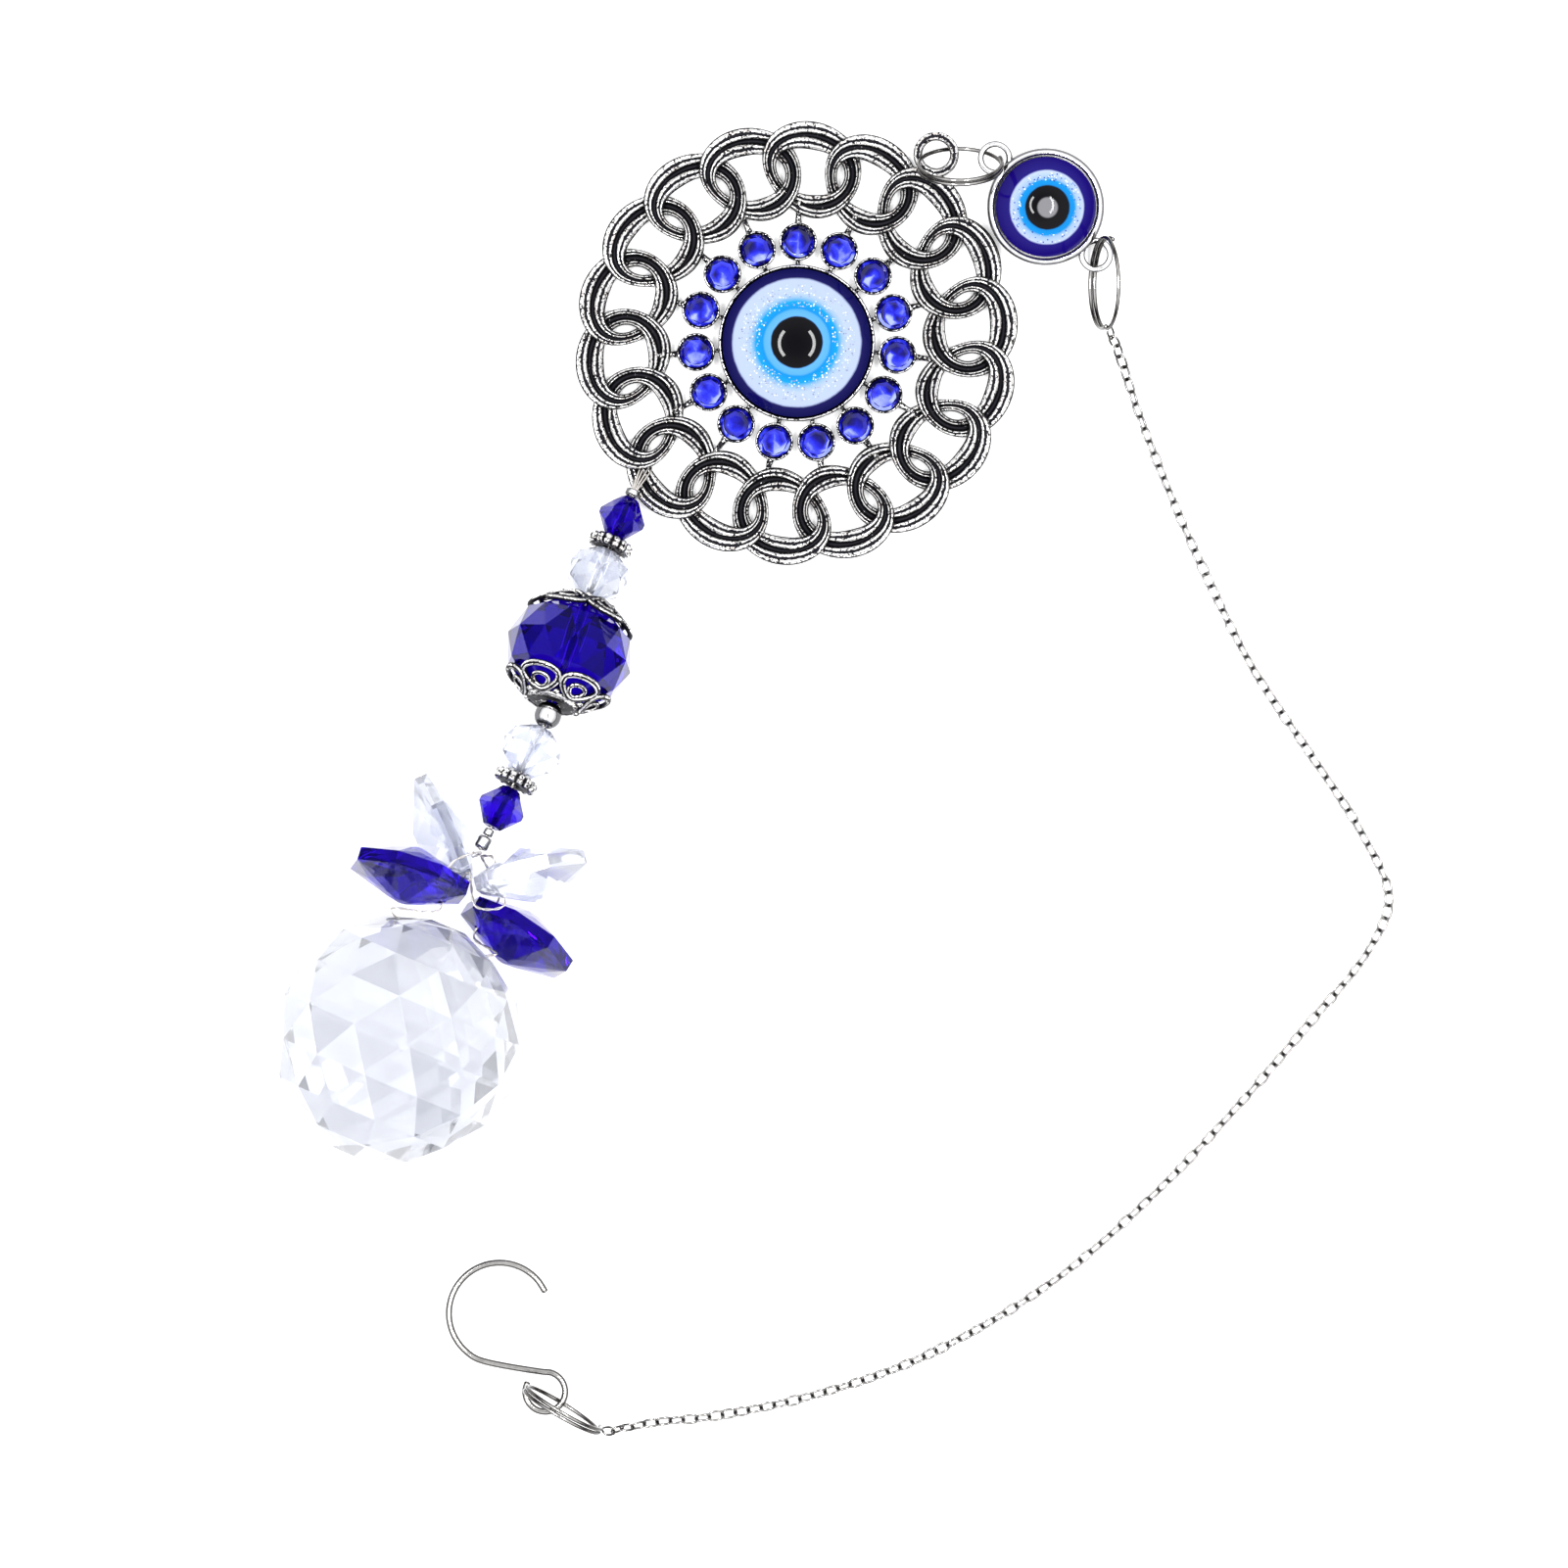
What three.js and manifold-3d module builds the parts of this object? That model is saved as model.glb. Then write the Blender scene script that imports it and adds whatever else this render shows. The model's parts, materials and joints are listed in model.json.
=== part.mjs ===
// Evil eye hanging ornament, lying flat on its back. Millimetres, +Z up.
// The origin is the middle of the medallion's back. +Y is the medallion's top edge.
import * as THREE from 'three';
import { ConvexGeometry } from 'three/addons/geometries/ConvexGeometry.js';
import { mergeVertices } from 'three/addons/utils/BufferGeometryUtils.js';
import Module from 'manifold-3d';

const wasm = await Module();
wasm.setup();

const vec = (x, y, z) => new THREE.Vector3(x, y, z);
const rad = THREE.MathUtils.degToRad;
const FULL_TURN = 2 * Math.PI;
const ROUND_SIDES = 28; // facets round the large turned shapes
const X_AXIS = vec(1, 0, 0);
const Y_AXIS = vec(0, 1, 0);
const Z_AXIS = vec(0, 0, 1);

// ---------- driving dimensions ----------
const SEAT_GAP = 0.12; // between a rhinestone and its cup
const CABOCHON_GAP = 0.2; // between a cabochon and its bezel

// medallion: a ring of woven curb links round a ring of stones and a bezel
const LINK_COUNT = 18;
const LINK_RING_RADIUS = 20.9;
const LINK_FIRST_ANGLE = 5.35; // degrees clockwise from the top
const LINK_HALF_WIDTH = 5.9; // along the ring, to the outer edge
const LINK_HALF_HEIGHT = 5.84; // across the ring, to the outer edge
const LINK_SLANT = -0.15; // how far the top leans clockwise
const LINK_WAVE = 0.6; // the weave's rise and fall
const LINK_STEPS = 12;
const BAND = { middle: 1.21, right: 0.125, top: 0.15, sides: -0.34 }; // half its width and how that varies
const BAND_HALF_THICKNESS = 0.75;
const LINK_LEVEL = LINK_WAVE + BAND_HALF_THICKNESS;
const STONE_COUNT = 15;
const STONE_RING_RADIUS = 12.15;
const STONE_FIRST_ANGLE = 0.8;
const STONE_RADIUS = 1.93;
const CUP_RADIUS = 2.3;
const CUP_BOTTOM = 0.5;
const CUP_FLOOR = 1.5;
const CUP_TOP = 2.5;
const SPOKE_WIDTH = 1.2;
const SPOKE_HEIGHT = 1.1;
const SPOKE_OUTER_RADIUS = 17.2;
const BEZEL_RADIUS = 9.4;
const BEZEL_HEIGHT = 2.7;
const BEZEL_FLOOR = 0.9;
const CABOCHON_RADIUS = 8.9;
const CABOCHON_GIRDLE = 1.9;
const CABOCHON_DOME = 3.4;
const EYELET_AT = vec(16.73, 22.63, 1.7);
const EYELET_RADIUS = 2.15;
const EYELET_WIRE = 0.6;

// anchor bar: a strand under the rim that the bead string is tied round
const ANCHOR_ANGLE = 219.3; // degrees anticlockwise from +X
const ANCHOR_RING_RADIUS = 23.6;
const ANCHOR_LEVEL = 0.98;
const ANCHOR_BAR = 0.36;
const TUNNEL = vec(6.4, 3.6, 2.35); // radial, along the rim, height
const CRIMP_NOTCH = 1.4; // radius of the room for the crimp at the rim

// charm: a small eye in a bezel with two eyelets, tilted a little
const CHARM_CENTRE = vec(29.74, 16.45, 0.66);
const CHARM_LINE_ANGLE = -43.6; // from the upper eyelet to the lower one
const CHARM_TILT = 4.8;
const CHARM_RADIUS = 7.05;
const CHARM_HEIGHT = 2.9;
const CHARM_FLOOR = 0.9;
const CHARM_STONE_RADIUS = 6.0;
const CHARM_STONE_GIRDLE = 2.05;
const CHARM_STONE_DOME = 2.4;
const CHARM_EYELET_OFFSET = 8.4;
const CHARM_EYELET_LEVEL = 1.85;
const CHARM_EYELET_RADIUS = 1.58;
const CHARM_EYELET_WIRE = 0.33;

// doubled wire rings
const RING_WIRE = 0.25;
const RING_PITCH = 0.54;
const RING_TURNS = 1.6;
const RING_CLEARANCE = 0.05;
const RINGS = {
  split_ring_upper: { at: [19.6, 21.2], radius: 5.0, along: vec(1, 0, 0), lean: vec(0, -1, 0), tilt: 64.5 },
  split_ring_lower: { at: [37.0, 7.1], radius: 5.45, along: vec(0, 1, 0), lean: vec(1, 0, 0), tilt: 74 },
  hook_ring: {
    at: [-28.03, -127.93], radius: 5.1, along: vec(0.857, -0.515, 0), lean: vec(-0.515, -0.857, 0), tilt: 84.5,
  },
};

// chain: from the lower ring, down to the table, round in a long curve and up to the hook's ring
const CHAIN_RADIUS = 0.73;
const CHAIN_STEPS = 60;
const CHAIN_ROUTE = [
  [37.65, 1.1, 4.9], [38.4, -0.6, 3.2], [39.4, -3.4, 1.5], [40.7, -7.4, 0.85], [43.5, -14.8, 0.8],
  [48.2, -25.8, 0.8], [54.8, -39.1, 0.8], [61.7, -49.4, 0.8], [67.7, -58.6, 0.8], [71.1, -66.6, 0.8],
  [68.8, -72.7, 0.8], [61.1, -82.2, 0.8], [51.8, -92.9, 0.8], [42.5, -102.6, 0.8], [30.3, -113.0, 0.8],
  [15.0, -121.8, 0.8], [1.4, -126.5, 0.8], [-11.1, -129.0, 0.8], [-16.4, -129.5, 0.85],
  [-20.0, -130.1, 2.0], [-22.5, -130.5, 4.4],
];

// S-hook: an open arc, a shank and a closed eye, one wire
const HOOK_WIRE = 0.4;
const HOOK_STEPS = 14;
const HOOK_CENTRE = vec(-35.7, -116.5, 0);
const HOOK_RADIUS = 6.07;
const HOOK_EYE_CENTRE = vec(-30.2, -125.9, 0);
const HOOK_EYE_RADIUS = 2.4;
const HOOK_TIP_LEVEL = 0.42;
const HOOK_EYE_LEVEL = 1.36;
const HOOK_CLIMB = 17; // how far down the hook its wire climbs from one level to the other
const HOOK_ARC = [26, 246]; // degrees, from the open tip round to the shank
const HOOK_EYE_ARC = [96, -206];

// bead string: a wire that climbs from the anchor bar to the ball in three straight runs
const STRING_START = vec(-19.0, -16.41, 2.0);
const STRING_ANGLE = 246.9;
const STRING_RISE = 14.9;
const UPPER_BEND_AT = 16.1;
const LARGE_RUN_ANGLE = 251.6;
const LARGE_RUN_RISE = 19;
const LOWER_BEND_AT = 33.3;
const STRING_SPLIT = vec(-38.166, -61.343, 14.998); // where the wire divides for the crystals
const BEND_SOFTNESS = 0.3; // half the length each bend takes
const WIRE_STEPS = 32;
const WIRE_RADIUS = 0.2;
const EYE_WIRE = 0.16; // each strand of the loops at the anchor bar
const EYE_PLACES = [-0.75, 0.8]; // where the two loops lie along the bar
const EYE_CLEARANCE = 0.22;
const BEAD_HOLE = 0.6;
const CRIMP_UPPER_AT = 1.9;
const BICONE_UPPER_AT = 5.22;
const SPACER_UPPER_AT = 8.8;
const CLEAR_UPPER_AT = 12.75;
const LARGE_BEAD_AT = 23.28;
const ROUND_BEAD_AT = 31.68;
const CLEAR_LOWER_AT = 36.6;
const SPACER_LOWER_AT = 40.65;
const BICONE_LOWER_AT = 44.4;
const CRIMP_BEAD_AT = 47.75;
const CRIMP_TUBE_AT = 49.15;
const WIRE_START = 2.65;
const STRING_END = 50.1;
// small turned beads: hole radius, outer radius, half the length, facets
const CRIMP_UPPER = [0.7, 1.05, 0.42, 10];
const SPACER = [0.8, 2.75, 0.7, 16];
const ROUND_BEAD = [0.55, 1.65, 1.35, 12];
const CRIMP_BEAD = [0.32, 0.62, 0.4, 10];
const CRIMP_TUBE = [0.5, 0.85, 0.72, 10];
const BICONE_RADIUS = 2.85;
const BICONE_HALF = 2.6;
const CLEAR_RADIUS = 3.95;
const CLEAR_HALF = 3.0;
const LARGE_RADIUS = 7.75;
const LARGE_HALF = 6.1;
const CAP_REACH = 0.78; // how far down the end facets the cap reaches
const CAP_GAP = 0.3;
const CAP_WALL = 0.45;

// octagon crystals round the top of the ball, and the wires through them
const PETAL_RADIUS = 6.85; // to the middle of a side
const PETAL_EDGE = 0.8; // half the edge's thickness
const PETAL_PEAK = 3.5; // half the thickness in the middle
const PETAL_TABLE = 0.9;
const PETAL_HOLE_AT = 4.4;
const PETAL_HOLE = 0.7;
const WIRE_SPREAD = 0.5;
const PETAL_MOUTH = 3.0; // how far out of the hole the wire starts to turn
const TURN_BACK = 0.8; // how far past a clear crystal's inner end its wire turns back
const TURN_LIFT = 2.3; // and how far in front of the crystal's middle
const CROSSING = [2.5, 0.3]; // where that wire passes between the crystals, past the split and above it
const BALL_MOUTH = [0.5, 0.7]; // the blue wire at the ball's mouths, out of the hole and up
const BALL_MOUTH_IN = 0.6;

// crystal ball
const BALL_RADIUS = 15;
const BALL_CENTRE = vec(-47.67, -83.47, 15);
const BALL_HOLE_OFFSET = 13.4;
const BALL_HOLE = 0.85;
const BALL_HOLE_TWIST = 20; // degrees, the right-hand mouth sits lower

// ---------- shared shapes ----------
function flipped(geometry) {
  const index = geometry.index.array;
  for (let i = 0; i < index.length; i += 3) [index[i + 1], index[i + 2]] = [index[i + 2], index[i + 1]];
  return geometry;
}

function toManifold(geometry) {
  return new wasm.Manifold(new wasm.Mesh({
    numProp: 3,
    vertProperties: new Float32Array(geometry.attributes.position.array),
    triVerts: new Uint32Array(geometry.index.array),
  }));
}

// A closed geometry with merged corners and its faces pointing out.
function closed(geometry) {
  const bare = geometry.index ? geometry.toNonIndexed() : geometry.clone();
  bare.deleteAttribute('normal');
  bare.deleteAttribute('uv');
  const merged = mergeVertices(bare, 1e-4);
  return toManifold(merged).volume() < 0 ? flipped(merged) : merged;
}

const solid = (geometry) => toManifold(closed(geometry));

function fromManifold(made) {
  const mesh = made.getMesh();
  const geometry = new THREE.BufferGeometry();
  geometry.setAttribute('position', new THREE.BufferAttribute(mesh.vertProperties, 3));
  geometry.setIndex(new THREE.BufferAttribute(mesh.triVerts, 1));
  return geometry;
}

function circleShape(radius, sides) {
  const points = [];
  for (let i = 0; i < sides; i += 1) {
    const turn = (FULL_TURN * (i + 0.5)) / sides;
    points.push(new THREE.Vector2(radius * Math.cos(turn), radius * Math.sin(turn)));
  }
  return new THREE.Shape(points);
}

function tube(curve, radius, sides, steps) {
  return new THREE.ExtrudeGeometry(circleShape(radius, sides), {
    steps, extrudePath: curve, bevelEnabled: false,
  });
}

// A turned shape about +Z from [radius, height] pairs. It closes on itself or on the axis.
function turned(profile, sides) {
  const points = profile.map(([r, z]) => new THREE.Vector2(r, z));
  if (profile[0][0] > 0) points.push(points[0].clone());
  return new THREE.LatheGeometry(points, sides).rotateX(Math.PI / 2);
}

function moved(geometry, xAxis, zAxis, origin) {
  const z = zAxis.clone().normalize();
  const x = xAxis.clone().addScaledVector(z, -xAxis.dot(z)).normalize();
  const y = z.clone().cross(x);
  const matrix = new THREE.Matrix4().makeBasis(x, y, z).setPosition(origin);
  return geometry.applyMatrix4(matrix);
}

function rod(radius, length, sides, along, middle) {
  const across = Math.abs(along.z) < 0.9 ? Z_AXIS : X_AXIS;
  const shape = new THREE.CylinderGeometry(radius, radius, length, sides).rotateX(Math.PI / 2);
  return moved(shape, across, along, middle);
}

// A unit vector from an angle in the table's plane and a climb out of it, in degrees.
const fromAngles = (plan, climb) => vec(
  Math.cos(rad(plan)) * Math.cos(rad(climb)), Math.sin(rad(plan)) * Math.cos(rad(climb)), Math.sin(rad(climb)),
);

const stringAlong = fromAngles(STRING_ANGLE, STRING_RISE);
const stringSide = fromAngles(STRING_ANGLE + 90, 0);
const upperBend = STRING_START.clone().addScaledVector(stringAlong, UPPER_BEND_AT);
const largeAlong = fromAngles(LARGE_RUN_ANGLE, LARGE_RUN_RISE);
const lowerBend = upperBend.clone().addScaledVector(largeAlong, LOWER_BEND_AT - UPPER_BEND_AT);
const RUNS = [
  { from: 0, start: STRING_START, along: stringAlong },
  { from: UPPER_BEND_AT, start: upperBend, along: largeAlong },
  { from: LOWER_BEND_AT, start: lowerBend, along: STRING_SPLIT.clone().sub(lowerBend).normalize() },
];
const runAt = (distance) => RUNS.findLast((run) => distance >= run.from);

function onString(distance) {
  const { from, start, along } = runAt(distance);
  return start.clone().addScaledVector(along, distance - from);
}

// ---------- materials ----------
function material(color, roughness, metalness) {
  return new THREE.MeshStandardMaterial({ color, roughness, metalness });
}

const MATERIALS = {
  antiqueSilver: material(0xa9a8a6, 0.35, 1),
  brightSilver: material(0xd2d2d4, 0.2, 1),
  steel: material(0xc2c3c6, 0.25, 1),
  eyeBlue: material(0x1d1f7a, 0.08, 0),
  stoneBlue: material(0x2430d0, 0.05, 0),
  cobalt: material(0x1b0fa0, 0.05, 0),
  clear: material(0xeef3fb, 0.02, 0),
};

const group = new THREE.Group();

function add(name, geometry, look, parent = group) {
  const mesh = new THREE.Mesh(closed(geometry), look);
  mesh.name = name;
  parent.add(mesh);
  return mesh;
}

// ---------- medallion ----------
// Half the band's width: broad at the link's top and narrow where it crosses over its neighbour.
function bandHalfWidth(turn) {
  const round = BAND.right * Math.cos(turn) + BAND.top * Math.sin(turn);
  return BAND.middle + round + BAND.sides * Math.cos(2 * turn);
}

// One link: a ring that is bent up and down twice, slanted, and wrapped round the medallion.
function curbLink(angle) {
  const ring = new THREE.TorusGeometry(2, 1, 6, LINK_STEPS);
  const place = ring.attributes.position;
  for (let i = 0; i < place.count; i += 1) {
    const turn = Math.atan2(place.getY(i), place.getX(i));
    const inward = bandHalfWidth(turn) * (3 - Math.hypot(place.getX(i), place.getY(i)));
    const across = (LINK_HALF_HEIGHT - inward) * Math.sin(turn);
    const along = (LINK_HALF_WIDTH - inward) * Math.cos(turn) + LINK_SLANT * across;
    const height = place.getZ(i) * BAND_HALF_THICKNESS + LINK_LEVEL - LINK_WAVE * Math.sin(2 * turn);
    const distance = LINK_RING_RADIUS + across;
    const direction = rad(90 - angle) - along / LINK_RING_RADIUS;
    place.setXYZ(i, distance * Math.cos(direction), distance * Math.sin(direction), height);
  }
  return ring;
}

function stonePlace(index) {
  const direction = rad(90 - STONE_FIRST_ANGLE - (360 / STONE_COUNT) * index);
  return vec(Math.cos(direction), Math.sin(direction), 0);
}

function cupAndSpoke(index) {
  const out = stonePlace(index);
  const wall = STONE_RADIUS + SEAT_GAP;
  const cup = turned([
    [0, CUP_BOTTOM], [CUP_RADIUS, CUP_BOTTOM], [CUP_RADIUS, CUP_TOP],
    [wall, CUP_TOP], [wall, CUP_FLOOR], [0, CUP_FLOOR],
  ], 8);
  cup.translate(out.x * STONE_RING_RADIUS, out.y * STONE_RING_RADIUS, 0);
  const length = SPOKE_OUTER_RADIUS - BEZEL_RADIUS + 0.2;
  const spoke = new THREE.BoxGeometry(length, SPOKE_WIDTH, SPOKE_HEIGHT);
  const middle = out.clone().multiplyScalar(BEZEL_RADIUS - 0.2 + length / 2);
  middle.z = CUP_BOTTOM + SPOKE_HEIGHT / 2 - 0.2;
  moved(spoke, out, Z_AXIS, middle);
  return solid(spoke).add(solid(cup));
}

function bezel() {
  const wall = CABOCHON_RADIUS + CABOCHON_GAP;
  return turned([
    [0, 0], [BEZEL_RADIUS, 0], [BEZEL_RADIUS, BEZEL_HEIGHT],
    [wall, BEZEL_HEIGHT], [wall, BEZEL_FLOOR], [0, BEZEL_FLOOR],
  ], ROUND_SIDES);
}

const anchorOut = vec(Math.cos(rad(ANCHOR_ANGLE)), Math.sin(rad(ANCHOR_ANGLE)), 0);
const anchorAlong = vec(-anchorOut.y, anchorOut.x, 0);
const anchorAt = anchorOut.clone().multiplyScalar(ANCHOR_RING_RADIUS).setZ(ANCHOR_LEVEL);

function medallionCasting() {
  let casting = solid(bezel());
  for (let i = 0; i < LINK_COUNT; i += 1) {
    casting = casting.add(solid(curbLink(LINK_FIRST_ANGLE + (360 / LINK_COUNT) * i)));
  }
  for (let i = 0; i < STONE_COUNT; i += 1) casting = casting.add(cupAndSpoke(i));
  const eyelet = new THREE.TorusGeometry(EYELET_RADIUS, EYELET_WIRE, 6, 14);
  eyelet.translate(EYELET_AT.x, EYELET_AT.y, EYELET_AT.z);
  casting = casting.add(solid(eyelet));
  const tunnel = new THREE.BoxGeometry(TUNNEL.x, TUNNEL.y, TUNNEL.z + 1);
  moved(tunnel, anchorOut, Z_AXIS, anchorAt.clone().setZ((TUNNEL.z - 1) / 2));
  const bar = rod(ANCHOR_BAR, TUNNEL.y + 1, 8, anchorAlong, anchorAt);
  const notch = rod(CRIMP_NOTCH, 2 * CRIMP_NOTCH, 10, stringAlong, onString(CRIMP_UPPER_AT));
  return fromManifold(casting.subtract(solid(tunnel)).add(solid(bar)).subtract(solid(notch)));
}

// A domed stone: a flat foot, a straight girdle and a shallow dome.
function cabochon(radius, foot, girdle, dome, sides) {
  const profile = [[0, foot], [radius, foot], [radius, girdle]];
  const sphere = (radius * radius + dome * dome) / (2 * dome);
  const rings = 4;
  for (let i = 1; i < rings; i += 1) {
    const r = radius * Math.cos((Math.PI / 2) * (i / rings));
    profile.push([r, girdle + dome - sphere + Math.sqrt(sphere * sphere - r * r)]);
  }
  profile.push([0, girdle + dome]);
  return turned(profile, sides);
}

function rhinestone() {
  return turned([
    [0, CUP_FLOOR + SEAT_GAP], [STONE_RADIUS * 0.55, CUP_FLOOR + SEAT_GAP], [STONE_RADIUS, CUP_TOP - 0.1],
    [STONE_RADIUS * 0.55, CUP_TOP + 0.75], [0, CUP_TOP + 0.75],
  ], 8);
}

add('medallion_casting', medallionCasting(), MATERIALS.antiqueSilver);
add('eye_cabochon', cabochon(
  CABOCHON_RADIUS, BEZEL_FLOOR + CABOCHON_GAP, BEZEL_FLOOR + CABOCHON_GIRDLE, CABOCHON_DOME, ROUND_SIDES,
), MATERIALS.eyeBlue);
for (let i = 0; i < STONE_COUNT; i += 1) {
  const name = `rhinestone_${String(i + 1).padStart(2, '0')}`;
  const at = stonePlace(i).multiplyScalar(STONE_RING_RADIUS);
  add(name, rhinestone(), MATERIALS.stoneBlue).position.copy(at);
}

// ---------- charm ----------
const charm = new THREE.Group();
charm.position.copy(CHARM_CENTRE);
charm.rotation.set(0, rad(CHARM_TILT), rad(CHARM_LINE_ANGLE), 'ZYX');
group.add(charm);

function charmFrame() {
  const wall = CHARM_STONE_RADIUS + CABOCHON_GAP;
  let frame = solid(turned([
    [0, 0], [CHARM_RADIUS, 0], [CHARM_RADIUS, CHARM_HEIGHT],
    [wall, CHARM_HEIGHT], [wall, CHARM_FLOOR], [0, CHARM_FLOOR],
  ], ROUND_SIDES));
  for (const side of [-1, 1]) {
    const eyelet = new THREE.TorusGeometry(CHARM_EYELET_RADIUS, CHARM_EYELET_WIRE, 6, 14);
    eyelet.translate(side * CHARM_EYELET_OFFSET, 0, CHARM_EYELET_LEVEL);
    frame = frame.add(solid(eyelet));
  }
  return fromManifold(frame);
}

add('charm_frame', charmFrame(), MATERIALS.brightSilver, charm);
add('charm_cabochon', cabochon(
  CHARM_STONE_RADIUS, CHARM_FLOOR + CABOCHON_GAP, CHARM_FLOOR + CHARM_STONE_GIRDLE,
  CHARM_STONE_DOME, ROUND_SIDES,
), MATERIALS.eyeBlue, charm);

// ---------- doubled wire rings ----------
// A coil of a little over one and a half turns, doubled over on its own +Y side.
class RingCoil extends THREE.Curve {
  constructor(radius) {
    super();
    this.radius = radius;
  }

  getPoint(t) {
    const turn = FULL_TURN * RING_TURNS * (t - 0.5) - Math.PI / 2;
    const rise = RING_PITCH * RING_TURNS * (t - 0.5);
    return vec(this.radius * Math.cos(turn), this.radius * Math.sin(turn), rise);
  }
}

// `doubled` says whether the doubled stretch is on the high side, 1, or the low side, -1.
function wireRing(name, doubled) {
  const { at, radius, along, lean, tilt } = RINGS[name];
  const rise = lean.clone().multiplyScalar(Math.cos(rad(tilt))).setZ(Math.sin(rad(tilt)));
  const level = radius * Math.sin(rad(tilt)) + RING_WIRE + RING_CLEARANCE;
  const normal = along.clone().cross(rise).multiplyScalar(doubled);
  const coil = tube(new RingCoil(radius), RING_WIRE, 6, 30);
  const extra = (RING_PITCH * RING_TURNS * Math.abs(normal.z)) / 2;
  return moved(coil, along, normal, vec(at[0], at[1], level + extra));
}

add('split_ring_upper', wireRing('split_ring_upper', 1), MATERIALS.steel);
add('split_ring_lower', wireRing('split_ring_lower', -1), MATERIALS.steel);
add('hook_ring', wireRing('hook_ring', 1), MATERIALS.steel);

// ---------- chain ----------
const chainPoints = CHAIN_ROUTE.map(([x, y, z]) => vec(x, y, z));
const chainCurve = new THREE.CatmullRomCurve3(chainPoints, false, 'centripetal');
add('chain', tube(chainCurve, CHAIN_RADIUS, 8, CHAIN_STEPS), MATERIALS.steel);

// ---------- S-hook ----------
function hookCurve() {
  const points = [];
  const arc = (centre, radius, [from, to]) => {
    for (let i = 0; i <= HOOK_STEPS; i += 1) {
      const turn = rad(from + ((to - from) * i) / HOOK_STEPS);
      const x = centre.x + radius * Math.cos(turn);
      const y = centre.y + radius * Math.sin(turn);
      const share = THREE.MathUtils.clamp((HOOK_CENTRE.y + HOOK_RADIUS - y) / HOOK_CLIMB, 0, 1);
      points.push(vec(x, y, THREE.MathUtils.lerp(HOOK_TIP_LEVEL, HOOK_EYE_LEVEL, share)));
    }
  };
  arc(HOOK_CENTRE, HOOK_RADIUS, HOOK_ARC);
  arc(HOOK_EYE_CENTRE, HOOK_EYE_RADIUS, HOOK_EYE_ARC);
  return new THREE.CatmullRomCurve3(points, false, 'centripetal');
}

add('s_hook', tube(hookCurve(), HOOK_WIRE, 8, 48), MATERIALS.steel);

// ---------- bead string ----------
// A bead string piece: its own +Z runs along the string, away from the medallion.
function strung(name, geometry, distance, look) {
  add(name, moved(geometry, stringSide, runAt(distance).along, onString(distance)), look);
}

function roundedRing(inner, outer, half, sides) {
  const shoulder = outer - Math.min(outer - inner, half) * 0.5;
  return turned([
    [inner, -half], [shoulder, -half], [outer, -half * 0.4],
    [outer, half * 0.4], [shoulder, half], [inner, half],
  ], sides);
}

// The wire's two loops go over and under the anchor bar and meet inside the crimp.
function wireEye() {
  const knot = onString(CRIMP_UPPER_AT);
  const outward = knot.clone().sub(anchorAt);
  const reach = outward.length();
  outward.normalize();
  const lift = outward.clone().cross(anchorAlong).normalize();
  if (lift.z < 0) lift.negate();
  const round = ANCHOR_BAR + EYE_WIRE + EYE_CLEARANCE;
  const loops = EYE_PLACES.map((side) => {
    const point = (out, up, spread) => anchorAt.clone()
      .addScaledVector(outward, out).addScaledVector(lift, up).addScaledVector(anchorAlong, side * spread);
    const path = new THREE.CatmullRomCurve3([
      point(reach + 0.35, 0.06, 0.1), point(reach - 0.8, 0.25, 0.3), point(round * 0.6, round, 0.95),
      point(-round * 0.6, round * 0.8, 1), point(-round, 0, 1), point(-round * 0.6, -round * 0.8, 1),
      point(round * 0.6, -round, 0.95), point(reach - 0.8, -0.25, 0.3),
      point(reach + 0.35, -0.06, 0.1),
    ], false, 'centripetal');
    return solid(tube(path, EYE_WIRE, 6, 20));
  });
  return fromManifold(loops[0].add(loops[1]));
}

function bicone() {
  const end = BEAD_HOLE + 0.55;
  return turned([
    [BEAD_HOLE, -BICONE_HALF], [end, -BICONE_HALF], [BICONE_RADIUS, -0.45], [BICONE_RADIUS, 0.45],
    [end, BICONE_HALF], [BEAD_HOLE, BICONE_HALF],
  ], 6);
}

// A cut bead from rings of corners, each ring turned half a step from the last.
const CUT_PROFILE = [[0.4, 1], [0.86, 0.55], [1, 0.0], [0.86, -0.55], [0.4, -1]];

function cutBead(radius, half, corners) {
  const points = [];
  CUT_PROFILE.forEach(([r, z], row) => {
    for (let i = 0; i < corners; i += 1) {
      const turn = (FULL_TURN * (i + row * 0.5)) / corners;
      points.push(vec(radius * r * Math.cos(turn), radius * r * Math.sin(turn), half * z));
    }
  });
  const hole = rod(BEAD_HOLE, 3 * half, 8, Z_AXIS, vec(0, 0, 0));
  return fromManifold(solid(new ConvexGeometry(points)).subtract(solid(hole)));
}

// A bead cap follows the large bead's end facets at a small gap, as a thin dished wall.
function beadCap() {
  const [end, waist] = CUT_PROFILE.map(([r, z]) => new THREE.Vector2(LARGE_RADIUS * r, LARGE_HALF * z));
  const slope = waist.clone().sub(end).normalize();
  const outward = new THREE.Vector2(-slope.y, slope.x);
  const place = (share, off) => end.clone().lerp(waist, share).addScaledVector(outward, off).toArray();
  const face = LARGE_HALF + CAP_GAP;
  const top = face + CAP_WALL;
  const outer = CAP_GAP + CAP_WALL;
  return turned([
    [BEAD_HOLE, face], [end.x, face], place(CAP_REACH, CAP_GAP), place(CAP_REACH, outer),
    place(0.12, outer), [end.x * 0.75, top], [BEAD_HOLE, top],
  ], 18);
}

strung('crimp_upper', roundedRing(...CRIMP_UPPER), CRIMP_UPPER_AT, MATERIALS.brightSilver);
add('wire_eye', wireEye(), MATERIALS.steel);

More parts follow.
